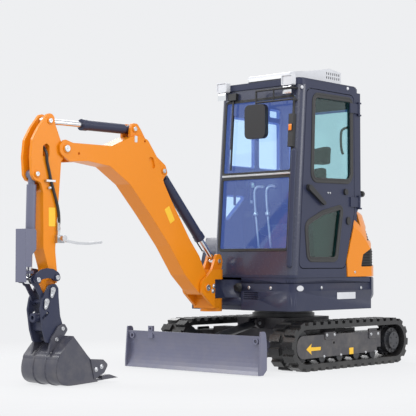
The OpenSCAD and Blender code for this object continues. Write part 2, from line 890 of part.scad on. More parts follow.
unit_y = [cab_right + 195, cab_left - 185];

unit_base = 24;
unit_plan = rounded([[-170, unit_y[0]], [605, unit_y[0]], [605, unit_y[1]], [-170, unit_y[1]]], 70);

module roof_base() {
    placed() color(dark) slab(unit_plan, roof_top, roof_top + unit_base);
}

module roof_unit() {
    low = roof_top + unit_base;
    side = rounded(
        [[-168, low], [598, low], [585, roof_top + 75], [330, roof_top + 108], [60, roof_top + 158], [-168, roof_top + 140]],
        [0, 0, 40, 120, 60, 40]
    );
    placed() color(white) difference() {
        intersection() {
            plate(side, unit_y[0], unit_y[1]);
            slab(unit_plan, low, roof_top + 200);
        }
        for (k = [0 : 6], r = [0, 1], y0 = [unit_y[0] - slot_deep, unit_y[1] - slot_deep])
            box(30 * k - 96, 30 * k - 84, y0, y0 + 2 * slot_deep, low + 44 + 36 * r, low + 66 + 36 * r);
    }
}

module yz_plate(pts, x0, x1) {
    translate([x0, 0, 0]) rotate([90, 0, 90]) linear_extrude(x1 - x0) polygon(pts);
}

function lamp_face(y, d) = rounded(
    [
        [y - 58 + d, roof_top - 68 + d], [y + 58 - d, roof_top - 68 + d],
        [y + 58 - d, roof_top + 20 - d], [y - 58 + d, roof_top + 20 - d]
    ],
    14 - d / 2
);

module work_lamps() {
    placed() color(white) for (y = [cab_right + 55, cab_left - 108])
        difference() {
            yz_plate(lamp_face(y, 0), roof_front, roof_front + 52);
            yz_plate(lamp_face(y, 9), roof_front + 44, roof_front + 53);
        }
}

// Indicator lamp on the left front post
module post_lamp() {
    y0 = cab_left - 92;
    placed() color(dark) raked() difference() {
        union() {
            box(-6, 34, y0, y0 + 50, up_front(1855), up_front(2130));
            box(33, 40, y0 + 6, y0 + 44, up_front(1985), up_front(2045));
        }
        corner_post(cab_left, 1);
        box(-wall_t, 0, cab_right, cab_left - post_r + 1, 0, roof_top);
    }
}

mirror_x = 775;
mirror_y = 325;
mirror_arms = [2346, 2248];
mirror_top = 2232;
mirror_low = 1944;
mirror_hw = 112;
mirror_post = cab_left - 45;
arm_r = 9;

module mirror() {
    placed() color(dark) difference() {
        union() {
            yz_plate(
                rounded(
                    [
                        [mirror_y - mirror_hw, mirror_low], [mirror_y + mirror_hw, mirror_low],
                        [mirror_y + mirror_hw, mirror_top], [mirror_y - mirror_hw, mirror_top]
                    ],
                    45
                ),
                mirror_x - 22, mirror_x + 22
            );
            translate([mirror_x, mirror_y, mirror_top - 20]) cylinder(r = arm_r, h = mirror_arms[0] - mirror_top + 20);
            translate([mirror_x, (mirror_y + mirror_post) / 2, mirror_arms[1]])
                cylinder(r = arm_r - 2, h = mirror_arms[0] - mirror_arms[1]);
            for (z = mirror_arms) {
                reach = mirror_x - wall_front(z) - post_r + 6;
                translate([mirror_x, mirror_post, z]) rotate([90, 0, 0]) cylinder(r = arm_r, h = mirror_post - mirror_y);
                translate([mirror_x, mirror_y, z]) sphere(r = arm_r);
                translate([mirror_x, mirror_post, z]) sphere(r = arm_r);
                translate([mirror_x - reach, mirror_post, z]) rotate([0, 90, 0]) cylinder(r = arm_r, h = reach);
            }
        }
        raked() corner_post(cab_left, 1);
    }
}

// Round rail along the left front post
module grab_rail() {
    rail_r = 24;
    rail_y = cab_left - 34;
    z0 = up_front(880);
    z1 = up_front(1820);
    placed() color(slate) raked() difference() {
        union() {
            translate([12, rail_y, z0]) cylinder(r = rail_r, h = z1 - z0);
            for (z = [z0, z1])
                translate([12, rail_y, z]) sphere(r = rail_r);
        }
        corner_post(cab_left, 1);
        box(-wall_t, 0, cab_right, cab_left - post_r + 1, 0, roof_top);
    }
}

module wiper() {
    wiper_y = 20;
    placed() color(dark) raked() {
        box(0, 34, wiper_y - 45, wiper_y + 45, up_front(head_z) + 6, up_front(head_z) + 66);
        box(6, 16, wiper_y - 8, wiper_y + 8, up_front(head_z) - 420, up_front(head_z) + 10);
        box(-6, 6, wiper_y - 6, wiper_y + 6, up_front(head_z) - 600, up_front(head_z) - 120);
    }
}

// Operator's place
seat_y = 300;
seat_z = 1130;

module seat_base() {
    placed() color(dark) box(20, 440, seat_y - 190, seat_y + 190, cab_base, seat_z - 6);
}

module seat() {
    cushion = rounded([[10, seat_z - 6], [500, seat_z - 6], [520, seat_z + 100], [20, seat_z + 90]], [20, 30, 40, 10]);
    back = rounded([[10, seat_z + 60], [110, seat_z + 60], [60, seat_z + 640], [-50, seat_z + 640]], [10, 10, 45, 45]);
    placed() color(dark) union() {
        plate(cushion, seat_y - 235, seat_y + 235);
        plate(back, seat_y - 220, seat_y + 220);
    }
}

module consoles() {
    side = rounded([[40, cab_base], [420, cab_base], [470, 1310], [420, 1360], [60, 1320]], [0, 40, 30, 40, 40]);
    placed() color(dark) for (y = [[cab_right + 55, cab_right + 175], [wall_in - 143, wall_in - 27]]) {
        plate(side, y[0], y[1]);
        translate([400, (y[0] + y[1]) / 2, 1330]) cylinder(r = 9, h = 130);
        translate([400, (y[0] + y[1]) / 2, 1450]) cylinder(r = 24, h = 110);
    }
}

module travel_levers() {
    placed() color(dark) for (y = [235, 365]) {
        translate([600, y, cab_base + 4]) rotate([0, 8, 0]) cylinder(r = 10, h = 516);
        translate([600, y, cab_base]) cylinder(r = 26, h = 40);
        translate([672, y, cab_base + 515]) sphere(r = 22);
    }
}

// Swing post, boom, arm and bucket

cheek_in = boom_hw + pin_gap;
cheek_out = cheek_in + 26;
king_r = 35;

module swing_post() {
    web_x = king_x + nose_hw + 6;
    low_top = nose_low - 5;
    high_low = nose_top + 5;
    high_top = nose_top + 87;
    foot = boom_foot;
    cheek = rounded(
        [
            [web_x, house_z + 20], [web_x + 30, house_z + 40], foot + [70, -40], foot + [78, 48],
            foot + [0, 98], [web_x + 34, high_top], [web_x, high_top]
        ],
        [10, 40, 55, 60, 30, 10, 0]
    );
    bridge = rounded(
        [
            [king_x - 60, -cheek_out], [web_x + 34, -cheek_out], [web_x + 34, -cheek_in], [king_x + 58, -cheek_in],
            [king_x + 58, cheek_in], [web_x + 34, cheek_in], [web_x + 34, cheek_out], [king_x - 60, cheek_out]
        ],
        [60, 0, 0, 4, 4, 0, 0, 60]
    );
    ear = rounded(
        [
            [king_x - 66, high_top - 6], [king_x + 54, high_top - 6], [king_x + 36, high_top + 34],
            post_lug + [46, 10], post_lug + [26, 60], post_lug + [-26, 60], post_lug + [-50, 0]
        ],
        [0, 0, 30, 20, 24, 24, 30]
    );
    placed() color(orange) union() {
        translate([king_x, 0, house_z - 8]) cylinder(r = 92, h = low_top - house_z + 8);
        slab(rounded([[king_x, -92], [web_x + 26, -cheek_out], [web_x + 26, cheek_out], [king_x, 92]], [0, 20, 20, 0]),
            house_z + 20, low_top);
        box(web_x, web_x + 24, -cheek_out, cheek_out, house_z + 20, boom_foot[1] - 48);
        twin_plates(cheek, cheek_in, cheek_out);
        slab(bridge, high_low, high_top);
        translate([king_x, 0, high_low]) cylinder(r = 62, h = high_top - high_low);
        translate([king_x, 0, house_z]) cylinder(r = king_r, h = high_top - house_z);
        twin_plates(ear, ear_in, ear_in + 26);
        pin_heads(post_lug, ear_in + 26, small_pin_r + 8);
        shaft(boom_foot, pin_r, -cheek_out, cheek_out);
        pin_heads(boom_foot, cheek_out, pin_r + 12);
    }
}

// The boom's points are measured from its foot pin
boom_back = [[72, 263], [184, 393], [410, 713], [495, 847], [560, 1030], [680, 1180]];
boom_under = [[1505, 956], [1323, 971], [1094, 947], [878, 819], [654, 592], [423, 341], [244, 107], [99, -20]];
boom_outline = rounded(
    concat(
        [[-62, 20]], boom_back,
        [[770, 1205], [862, 1190], [1073, 1103], [1476, 1098], [1560, 1120], [1606, 1070], [1600, 1010]],
        boom_under, [[40, -62], [-52, -40]]
    ),
    concat([40, 30, 30, 30, 60, 70, 60, 30, 30, 60, 60, 30, 30, 40], [for (p = boom_under) 40], [40, 40])
);

boom_pocket = rounded([[592, 966], [624, 950], [668, 1030], [652, 1046], [620, 1044]], [18, 16, 16, 14, 18]);

function at_foot(pts) = [for (p = pts) boom_foot + p];
function at_tip(pts) = [for (p = pts) boom_tip + p];
function at_end(pts) = [for (p = pts) arm_end + p];

module boom() {
    lug_at = boom_lug - boom_foot;
    lug = rounded(
        [lug_at + [-46, -20], lug_at + [-10, -48], lug_at + [33, -115], lug_at + [113, 130], lug_at + [-20, 46]],
        [26, 26, 0, 0, 26]
    );
    crest_at = crest_pin - boom_foot;
    crest = rounded(
        [
            crest_at + [-150, -110], crest_at + [50, -110], crest_at + [46, -20], crest_at + [30, 44],
            crest_at + [-30, 44], crest_at + [-70, 0]
        ],
        [0, 0, 20, 26, 26, 60]
    );
    fork = arm_hw + pin_gap;
    placed() color(orange) difference() {
        union() {
            plate(at_foot(boom_outline), -boom_hw, boom_hw);
            twin_plates(at_foot(lug), ear_in, ear_in + 24);
            twin_plates(at_foot(crest), ear_in, ear_in + 24);
            for (p = [boom_lug, crest_pin]) {
                shaft(p, small_pin_r, -ear_in - 24, ear_in + 24);
                pin_heads(p, ear_in + 24, small_pin_r + 8);
            }
            pin_heads(boom_tip, boom_hw, pin_r + 10);
        }
        difference() {
            box(boom_tip[0] - 92, boom_tip[0] + 200, -fork, fork, boom_tip[1] - 200, boom_tip[1] + 200);
            shaft(boom_tip, pin_r, -fork - 1, fork + 1);
        }
        shaft(boom_foot, pin_r + slide_gap, -boom_hw - 1, boom_hw + 1);
        for (s = [-1, 1]) {
            for (p = [[1415, 1021], [712, 1165]])
                side_shaft(s, boom_foot + p, 10, boom_hw - 16, boom_hw + 1);
            side_plate(s, at_foot(boom_pocket), boom_hw - 14, boom_hw + 1);
        }
    }
}

module boom_barrel() {
    placed() color(dark) along(boom_lug, post_lug) barrel(boom_short, barrel_r, rod_r);
}

module boom_rod() {
    placed() color(chrome) along(boom_lug, post_lug) rod(boom_short, norm(post_lug - boom_lug), rod_r);
}

module arm_barrel() {
    placed() color(dark) along(crest_pin, arm_lever) barrel(arm_short, barrel_r - 2, rod_r);
}

module arm_rod() {
    placed() color(chrome) along(crest_pin, arm_lever) rod(arm_short, norm(arm_lever - crest_pin), rod_r);
}

// The arm's points are measured from the boom tip pin
arm_front = 208;
arm_body = rounded(
    [
        [-42, -44], [35, -90], [90, -753], [66, -950], [80, -1040], [127, -1094], [172, -1046],
        [152, -960], [154, -890], [arm_front - 4, -740], [arm_front, -330], [150, -200], [140, 20], [60, 52], [-46, 40]
    ],
    [34, 40, 300, 60, 40, 38, 40, 20, 20, 60, 60, 60, 40, 40, 34]
);
arm_head = rounded(
    [
        [30, 34], [97, 178], [106, 240], [160, 256], [253, 143], [310, 49], [324, -78], [314, -212], [289, -246],
        [231, -262], [arm_front - 2, -340], [110, -340], [50, -100]
    ],
    [10, 60, 40, 40, 60, 60, 80, 30, 20, 20, 10, 0, 0]
);

// Slot that the hose comes out of
hose_slot = rounded([[152, -70], [150, 8], [176, 30], [212, 6], [214, -70]], [8, 14, 16, 14, 8]);

module arm() {
    placed() color(orange) difference() {
        union() {
            plate(at_tip(arm_body), -arm_hw, arm_hw);
            twin_plates(at_tip(arm_head), ear_in, arm_hw);
            shaft(dump_pin, small_pin_r, -arm_hw, arm_hw);
            for (p = [dump_pin, arm_lever])
                pin_heads(p, arm_hw, small_pin_r + 8);
        }
        shaft(boom_tip, pin_r + slide_gap, -arm_hw - 1, arm_hw + 1);
        for (s = [-1, 1])
            side_shaft(s, arm_end, end_r, end_hw, arm_hw + 1);
        shaft(arm_end, small_pin_r + 2 + slide_gap, -arm_hw - 1, arm_hw + 1);
        shaft(rocker_pin, small_pin_r + slide_gap, -arm_hw - 1, arm_hw + 1);
        plate(at_tip(hose_slot), ear_in - 1, arm_hw + 1);
    }
}

bucket_rod_r = rod_r - 3;

module bucket_barrel() {
    placed() color(dark) along(dump_pin, rocker_tip) barrel(bucket_short, barrel_r - 6, bucket_rod_r);
}

module bucket_rod() {
    placed() color(chrome) along(dump_pin, rocker_tip)
        rod(bucket_short, norm(rocker_tip - dump_pin), bucket_rod_r);
}

module rod_guard() {
    reach = norm(rocker_tip - dump_pin);
    z0 = rocker_tip[1] - 18;
    z1 = z0 + 386;
    flange = rounded(
        [
            [guard_x - 60, z0 + 110], [guard_x - 4, z0 + 110], [guard_x - 4, z1], [guard_x - 100, z1],
            [guard_x - 100, z1 - 150], [guard_x - 60, z1 - 190]
        ],
        [10, 0, 0, 20, 30, 30]
    );
    placed() color(steel_grey) difference() {
        union() {
            box(guard_x - 8, guard_x, -56, 56, z0, z1);
            twin_plates(flange, 48, 56);
            box(rocker_tip[0] - 10, guard_x - 4, -20, 20, z0 + 62, z0 + 84);
            along(dump_pin, rocker_tip) xcyl(bucket_rod_r + 14, reach - 66, reach - 42);
        }
        along(dump_pin, rocker_tip) xcyl(bucket_rod_r + 0.2, reach - 100, reach - 10);
    }
}

// Rocker, link, hitch and bucket points are measured from the arm's end pin
rocker_pts = rounded(
    [
        [-56, 86], [-46, 124], [10, 154], [68, 160], [128, 150], [180, 116], [194, 74], [162, 42],
        [122, 78], [68, 88], [16, 84], [-24, 56]
    ],
    [20, 40, 60, 80, 60, 30, 26, 24, 40, 60, 40, 24]
);

module rocker() {
    placed() color(dark) union() {
        twin_plates(at_end(rocker_pts), rocker_in, rocker_in + rocker_t);
        shaft(rocker_pin, small_pin_r, -rocker_in - rocker_t, rocker_in + rocker_t);
        for (s = [-1, 1]) {
            side_shaft(s, rocker_pin, small_pin_r + 7, hitch_in, rocker_in);
            side_shaft(s, rocker_tip, small_pin_r, hitch_in, rocker_in);
        }
        pin_heads(rocker_pin, rocker_in + rocker_t, small_pin_r + 8);
        pin_heads(rocker_tip, rocker_in + rocker_t, small_pin_r + 8);
    }
}

module link() {
    span = norm(hitch_pin - rocker_tip);
    eye = 29.5;
    waist = 19;
    strap = rounded(
        [
            [-eye, -eye], [eye, -eye], [eye + 20, -waist], [span - eye - 20, -waist], [span - eye, -eye],
            [span + eye, -eye], [span + eye, eye], [span - eye, eye], [span - eye - 20, waist],
            [eye + 20, waist], [eye, eye], [-eye, eye]
        ],
        [eye - 0.5, 8, 8, 8, 8, eye - 0.5, eye - 0.5, 8, 8, 8, 8, eye - 0.5]
    );
    placed() color(dark) along(rocker_tip, hitch_pin) difference() {
        twin_plates(strap, link_in, link_in + link_t);
        shaft([span, 0], small_pin_r + slide_gap, -80, 80);
    }
}

hook_pins = [arm_end + [-80, -283], arm_end + [-20, -360]];
hook_pin_r = 16;
hitch_pts = rounded(
    [
        [-52, 14], [-20, 50], [38, 34], [98, -56], [116, -140], [92, -290], [60, -385], [-34, -380],
        [-112, -300], [-70, -190], [-54, -50]
    ],
    [30, 30, 30, 40, 60, 60, 30, 30, 40, 40, 40]
);

hitch_slot = rounded([[34, -166], [50, -150], [104, -196], [94, -216], [82, -214]], [8, 10, 8, 6, 8]);

module hitch() {
    placed() color(dark) difference() {
        union() {
            twin_plates(at_end(hitch_pts), hitch_in, hitch_out);
            plate(at_end(rounded([[-56, -170], [72, -170], [66, -300], [-40, -300]], 20)), -hitch_in - 1, hitch_in + 1);
            translate([arm_end[0], 0, arm_end[1] - 200]) difference() {
                xcyl(34, 60, 128);
                xcyl(15, 100, 129);
            }
            shaft(arm_end, small_pin_r + 2, -hitch_out, hitch_out);
            shaft(hitch_pin, small_pin_r, -hitch_out, hitch_out);
            pin_heads(arm_end, hitch_out, small_pin_r + 12);
            pin_heads(hitch_pin, hitch_out, small_pin_r + 8);
        }
        for (p = hook_pins)
            shaft(p, hook_pin_r + 0.3, -hitch_out - 1, hitch_out + 1);
        for (s = [-1, 1])
            side_plate(s, at_end(hitch_slot), hitch_in - 1, hitch_out + 1);
    }
}

bucket_hw = bucket_w / 2;

module bucket() {
    t = bucket_t;
    outer = rounded(
        [[-97, -334], [51, -484], [56, -607], [-39, -687], [-400, -672], [-322, -640], [-286, -527], [-239, -483]],
        [0, 50, 60, 60, 0, 0, 30, 20]
    );
    inner = rounded(
        [
            [-97 - 1.4 * t, -334], [51 - t, -484 - 0.4 * t], [56 - t, -607 + 0.4 * t], [-39 - 0.4 * t, -687 + t],
            [-420, -671 + t], [-420, -334]
        ],
        [0, 50, 50, 50, 0, 0]
    );
    side = rounded(
        [[-97, -334], [51, -484], [56, -607], [-39, -687], [-330, -675], [-286, -527], [-239, -483]],
        [0, 50, 60, 60, 0, 30, 20]
    );
    cutter = rounded([[-300, -660], [-400, -620], [-440, -560], [-390, -520], [-262, -510]], [0, 20, 20, 20, 0]);
    tooth = [[-396, -672], [-558, -664], [-470, -636], [-390, -640]];
    ear = rounded(
        [[-130, -290], [-95, -245], [-40, -262], [30, -350], [60, -470], [-60, -380]],
        [20, 20, 30, 30, 0, 0]
    );
    step = (bucket_w - 60) / (tooth_count - 1);
    placed() color(steel_grey) union() {
        difference() {
            plate(at_end(outer), -bucket_hw, bucket_hw);
            plate(at_end(inner), -bucket_hw - 1, bucket_hw + 1);
        }
        for (y = [-bucket_hw, bucket_hw - t])
            plate(at_end(side), y, y + t);
        for (y = [-bucket_hw - 8, bucket_hw])
            plate(at_end(cutter), y, y + 8);
        for (k = [0 : tooth_count - 1])
            plate(at_end(tooth), k * step - bucket_hw + 8, k * step - bucket_hw + 52);
        twin_plates(at_end(ear), hitch_out + 3, hitch_out + 19);
        for (p = hook_pins)
            shaft(p, hook_pin_r, -hitch_out - 19, hitch_out + 19);
    }
}

// Auxiliary hose and shut-off valve on the left face of the arm, with points [x, y, z] from the boom tip pin
hose_r = 11;
hose_y = arm_hw + hose_r + 0.4;
hose_path = [
    [176, 6, 14], [183, 36, -8], [187, hose_y, -52], [183, hose_y, -104], [164, hose_y, -169], [143, hose_y, -248],
    [114, hose_y, -328], [86, hose_y, -407], [68, hose_y, -480], [64, hose_y, -547], [72, hose_y, -582], [73, hose_y, -606]
];
// Points along a smooth curve through the path, n to a span
function smooth(path, n) = [
    for (i = [0 : len(path) - 2], k = [0 : n - (i == len(path) - 2 ? 0 : 1)])
        let (
            t = k / n,
            a = path[max(i - 1, 0)],
            b = path[i],
            c = path[i + 1],
            d = path[min(i + 2, len(path) - 1)]
        )
        b + t / 2 * (c - a) + t * t / 2 * (2 * a - 5 * b + 4 * c - d) + t * t * t / 2 * (3 * b - a - 3 * c + d)
];

// A round tube swept along points
module tube(pts, r, sides = 10) {
    last = len(pts) - 1;
    rings = [
        for (i = [0 : last])
            let (
                t = unit(pts[min(i + 1, last)] - pts[max(i - 1, 0)]),
                u = unit(cross(t, [0.02, 1, 0.03])),
                v = cross(t, u)
            )
            for (k = [0 : sides - 1])
                pts[i] + r * (u * cos(360 * k / sides) + v * sin(360 * k / sides))
    ];
    skin = [
        for (i = [0 : last - 1], k = [0 : sides - 1])
            let (m = (k + 1) % sides)
            each [
                [i * sides + k, i * sides + m, (i + 1) * sides + m],
                [i * sides + k, (i + 1) * sides + m, (i + 1) * sides + k]
            ]
    ];
    polyhedron(rings, concat(
        [[for (k = [sides - 1 : -1 : 0]) k]], skin, [[for (k = [0 : sides - 1]) last * sides + k]]
    ));
}

module aux_hose() {
    placed() color(rubber) translate([boom_tip[0], 0, boom_tip[1]]) tube(smooth(hose_path, 4), hose_r);
}

module aux_valve() {
    valve = [60, -668];
    lever = rounded(
        [
            [44, -676], [-10, -684], [-80, -693], [-180, -695], [-320, -682], [-320, -700],
            [-180, -713], [-80, -711], [-10, -702], [44, -696]
        ],
        [8, 40, 60, 60, 8, 8, 60, 60, 40, 8]
    );
    placed() color(steel_grey) translate([boom_tip[0], 0, boom_tip[1]]) union() {
        box(valve[0] - 34, valve[0] + 34, arm_hw, arm_hw + 30, valve[1] - 34, valve[1] + 26);
        shaft(valve, 24, arm_hw + 20, arm_hw + 74);
        box(valve[0] + 2, valve[0] + 24, hose_y - 11, hose_y + 11, valve[1] + 20, -607);
        plate(lever, arm_hw + 54, arm_hw + 70);
        difference() {
            box(112, 200, arm_hw, hose_y + hose_r + 5, -256, -240);
            translate([136, hose_y, -270]) rotate([0, 17.5, 0]) cylinder(r = hose_r + slide_gap, h = 60);
        }
    }
}

carbody();
slew_ring();
track_frame_left();
track_frame_right();
track_rollers();
idlers();
sprockets();
track_left();
track_right();
blade();
blade_barrel();
blade_rod();
house_frame();
skirt();
counterweight();
engine();
side_cover_left();
side_cover_right();
hood();
tank_cover();
cab_floor();
cab_front();
cab_right_wall();
cab_rear_wall();
cab_left_frame();
cab_roof();
cab_glass();
door();
door_glass();
seat();
seat_base();
consoles();
travel_levers();
roof_unit();
work_lamps();
mirror();
grab_rail();
wiper();
swing_post();
boom();
boom_barrel();
boom_rod();
arm_barrel();
arm_rod();
arm();
bucket_barrel();
bucket_rod();
rod_guard();
rocker();
link();
hitch();
bucket();
aux_hose();
aux_valve();
roof_base();
post_lamp();
door_handle();
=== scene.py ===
"""Finishes and small pieces of a mini excavator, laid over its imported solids."""

import math

import bmesh
import bpy
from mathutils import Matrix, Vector


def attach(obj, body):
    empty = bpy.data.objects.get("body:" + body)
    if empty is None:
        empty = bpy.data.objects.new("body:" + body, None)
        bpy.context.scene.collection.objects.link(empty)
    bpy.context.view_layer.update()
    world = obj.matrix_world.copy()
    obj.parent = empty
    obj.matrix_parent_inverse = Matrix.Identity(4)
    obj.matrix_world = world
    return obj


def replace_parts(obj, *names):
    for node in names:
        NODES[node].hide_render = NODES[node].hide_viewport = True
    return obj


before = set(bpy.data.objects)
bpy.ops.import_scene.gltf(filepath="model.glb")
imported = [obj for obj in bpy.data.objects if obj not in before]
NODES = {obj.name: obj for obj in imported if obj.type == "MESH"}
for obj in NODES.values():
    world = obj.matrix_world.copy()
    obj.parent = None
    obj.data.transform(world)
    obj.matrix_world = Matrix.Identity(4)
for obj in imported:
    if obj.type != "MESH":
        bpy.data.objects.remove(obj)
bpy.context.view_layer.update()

bl_info = {
    "name": "Mini Excavator Finish",
    "version": (1, 0, 0),
    "blender": (4, 5, 0),
    "location": "View3D > Sidebar > Excavator",
    "description": "Paint, glass, rubber and small fittings for a mini excavator",
    "category": "Object",
}


def colour_prop(name, description, default):
    """A linear colour that a user may change."""
    return bpy.props.FloatVectorProperty(
        name=name, description=description, default=default, size=3, min=0.0, max=1.0, subtype="COLOR")


def length_prop(name, description, default):
    """A length in metres that a user may change."""
    return bpy.props.FloatProperty(
        name=name, description=description, default=default, min=0.0, unit="LENGTH")


class EXCAVATOR_PG_colours(bpy.types.PropertyGroup):
    """Colours of the machine's finishes."""

    orange: colour_prop("Orange", "Paint of boom, arm, post and covers", (0.74, 0.228, 0.004))
    slate: colour_prop("Slate", "Paint of cab, skirt and counterweight", (0.028, 0.033, 0.066))
    chassis: colour_prop("Chassis grey", "Paint of track frames and carbody", (0.042, 0.040, 0.047))
    blade: colour_prop("Blade grey", "Paint of dozer blade and rod guard", (0.125, 0.130, 0.195))
    bucket: colour_prop("Bucket grey", "Paint of the bucket", (0.046, 0.047, 0.068))
    black: colour_prop("Black", "Satin black of rollers and hard lines", (0.020, 0.022, 0.028))
    rubber: colour_prop("Rubber", "Tracks and hoses", (0.018, 0.018, 0.019))
    white: colour_prop("White", "Roof unit and lamp housings", (0.62, 0.63, 0.66))
    glass: colour_prop("Glass", "Tint of the safety glass", (0.72, 0.85, 0.82))
    door_glass: colour_prop("Door glass", "Greener tint of the door's panes", (0.45, 0.68, 0.62))
    cloth: colour_prop("Seat cloth", "Woven cloth of the seat", (0.022, 0.023, 0.027))
    label: colour_prop("Label yellow", "Blank labels and the travel arrow", (0.85, 0.50, 0.02))
    dust: colour_prop("Dust", "Dry dust on low surfaces", (0.30, 0.27, 0.23))


class EXCAVATOR_PG_sizes(bpy.types.PropertyGroup):
    """Sizes of the small pieces."""

    front_seal: length_prop("Front seal", "Width of the windshield's seals", 0.024)
    side_seal: length_prop("Side seal", "Width of the right and rear windows' seals", 0.026)
    door_seal: length_prop("Door seal", "Width of the seals round the door's panes", 0.044)
    pin_end: length_prop("Pin end", "How far a pin's end stands out", 0.006)
    label: length_prop("Label", "Thickness of the yellow labels", 0.0016)
    hard_line: length_prop("Hard line", "Radius of the steel tubes on the cylinders", 0.006)
    grip: length_prop("Grip", "Radius of lever grips, grab loop and seat frame", 0.011)


class EXCAVATOR_PG_stage(bpy.types.PropertyGroup):
    """Camera and light of the studio."""

    azimuth: bpy.props.FloatProperty(
        name="Azimuth", description="Direction of view round the machine",
        default=math.radians(131.67), subtype="ANGLE")
    pitch: bpy.props.FloatProperty(
        name="Pitch", description="Upward tilt of the camera", default=math.radians(2.62), subtype="ANGLE")
    lens: bpy.props.FloatProperty(
        name="Lens", description="Focal length in millimetres", default=107.7, min=10.0)
    place: bpy.props.FloatVectorProperty(
        name="Place", description="Where the camera stands", default=(7.7765, 6.9774, 0.8804), size=3,
        subtype="TRANSLATION")
    backdrop: colour_prop("Backdrop", "Pale floor and surroundings", (0.855, 0.863, 0.879))


def colours():
    return bpy.context.scene.excavator_colours


def size_of(name):
    """One of the sizes that a user may change, in millimetres."""
    return round(1000 * getattr(bpy.context.scene.excavator_sizes, name), 3)


def rgba(colour):
    return (*colour, 1.0)


def socket_name(label):
    """A socket's name from a keyword."""
    return label.replace("_", " ").title().replace("Ior", "IOR")


class Shade:
    """Adds nodes to a tree, with sockets given as values or as outputs of other nodes."""

    def __init__(self, tree):
        self.tree = tree

    def give(self, socket, value):
        if isinstance(value, bpy.types.NodeSocket):
            self.tree.links.new(value, socket)
        else:
            socket.default_value = value

    def add(self, kind, sockets=None, **settings):
        made = self.tree.nodes.new(kind)
        for key, value in settings.items():
            setattr(made, key, value)
        for key, value in (sockets or {}).items():
            self.give(made.inputs[key], value)
        return made

    def feed(self, inputs, **values):
        """Sets or links sockets, named in small letters."""
        for label, value in values.items():
            self.give(inputs[socket_name(label)], value)

    def math(self, operation, a, b=0.0, clamp=False):
        return self.add("ShaderNodeMath", {0: a, 1: b}, operation=operation, use_clamp=clamp).outputs[0]

    def swing(self, value, amount):
        """A value about one half, brought to swing about zero."""
        return self.math("MULTIPLY", self.math("SUBTRACT", value, 0.5), amount)

    def mix(self, factor, a, b):
        """Mixes two colours."""
        return self.add("ShaderNodeMix", {0: factor, 6: a, 7: b}, data_type="RGBA").outputs[2]

    def spread(self, value, low, high, to_low=0.0, to_high=1.0):
        """Maps a value from one range to another, clamped."""
        made = self.add("ShaderNodeMapRange")
        self.feed(made.inputs, value=value, from_min=low, from_max=high, to_min=to_low, to_max=to_high)
        return made.outputs[0]

    def place(self):
        return self.add("ShaderNodeTexCoord").outputs["Object"]

    def noise(self, place, scale, detail=3.0, roughness=0.5):
        return self.add("ShaderNodeTexNoise", {
            "Vector": place, "Scale": scale, "Detail": detail, "Roughness": roughness}).outputs["Fac"]

    def bump(self, height, strength, **normal):
        """A relief one millimetre deep at full strength."""
        made = self.add("ShaderNodeBump", {"Height": height, "Strength": strength, "Distance": 0.001})
        self.feed(made.inputs, **normal)
        return made.outputs[0]


def new_group(name, inputs, outputs):
    """Starts a shader node group; inputs are (name, socket kind, default) rows, outputs (name, kind)."""
    tree = bpy.data.node_groups.new(name, "ShaderNodeTree")
    for label, kind, default in inputs:
        socket = tree.interface.new_socket(label, in_out="INPUT", socket_type=kind)
        socket.default_value = default
    for label, kind in outputs:
        tree.interface.new_socket(label, in_out="OUTPUT", socket_type=kind)
    shade = Shade(tree)
    return shade, shade.add("NodeGroupInput").outputs, shade.add("NodeGroupOutput").inputs


FLOAT = "NodeSocketFloat"
COLOR = "NodeSocketColor"
VECTOR = "NodeSocketVector"


def build_edge_group():
    """Rounded edges from the bevel node, and a broken mask along them where paint wears."""
    s, given, out = new_group(
        "Worn Edge", [("Radius", FLOAT, 0.004), ("Amount", FLOAT, 0.5), ("Scale", FLOAT, 18.0)],
        [("Mask", FLOAT), ("Normal", VECTOR)])
    bevel = s.add("ShaderNodeBevel", {"Radius": given["Radius"]}, samples=4).outputs[0]
    true = s.add("ShaderNodeNewGeometry").outputs["Normal"]
    facing = s.add("ShaderNodeVectorMath", {0: bevel, 1: true}, operation="DOT_PRODUCT").outputs["Value"]
    edge = s.spread(facing, 0.985, 0.86)
    broken = s.spread(s.noise(s.place(), given["Scale"], 6.0, 0.7), 0.50, 0.66)
    mask = s.math("MULTIPLY", s.math("MULTIPLY", edge, broken), given["Amount"], clamp=True)
    s.feed(out, mask=mask, normal=bevel)
    return s.tree


def build_mottle_group():
    """Slow changes of tone in a coat of paint, uneven gloss and its fine orange peel."""
    s, given, out = new_group(
        "Paint Mottle",
        [("Color", COLOR, (0.8, 0.8, 0.8, 1.0)), ("Variation", FLOAT, 0.08), ("Roughness", FLOAT, 0.35),
         ("Peel Scale", FLOAT, 450.0)],
        [("Color", COLOR), ("Roughness", FLOAT), ("Height", FLOAT)])
    place = s.place()
    slow = s.noise(place, 2.4, 4.0)
    fine = s.noise(place, 38.0, 5.0, 0.65)
    tone = s.math("ADD", s.swing(slow, 1.4), s.swing(fine, 0.7))
    factor = s.math("ADD", s.math("MULTIPLY", tone, given["Variation"]), 1.0)
    toned = s.add("ShaderNodeHueSaturation", {"Color": given["Color"], "Value": factor}).outputs[0]
    gloss = s.math("ADD", given["Roughness"], s.swing(fine, 0.16))
    s.feed(out, color=toned, roughness=gloss, height=s.noise(place, given["Peel Scale"], 1.0))
    return s.tree


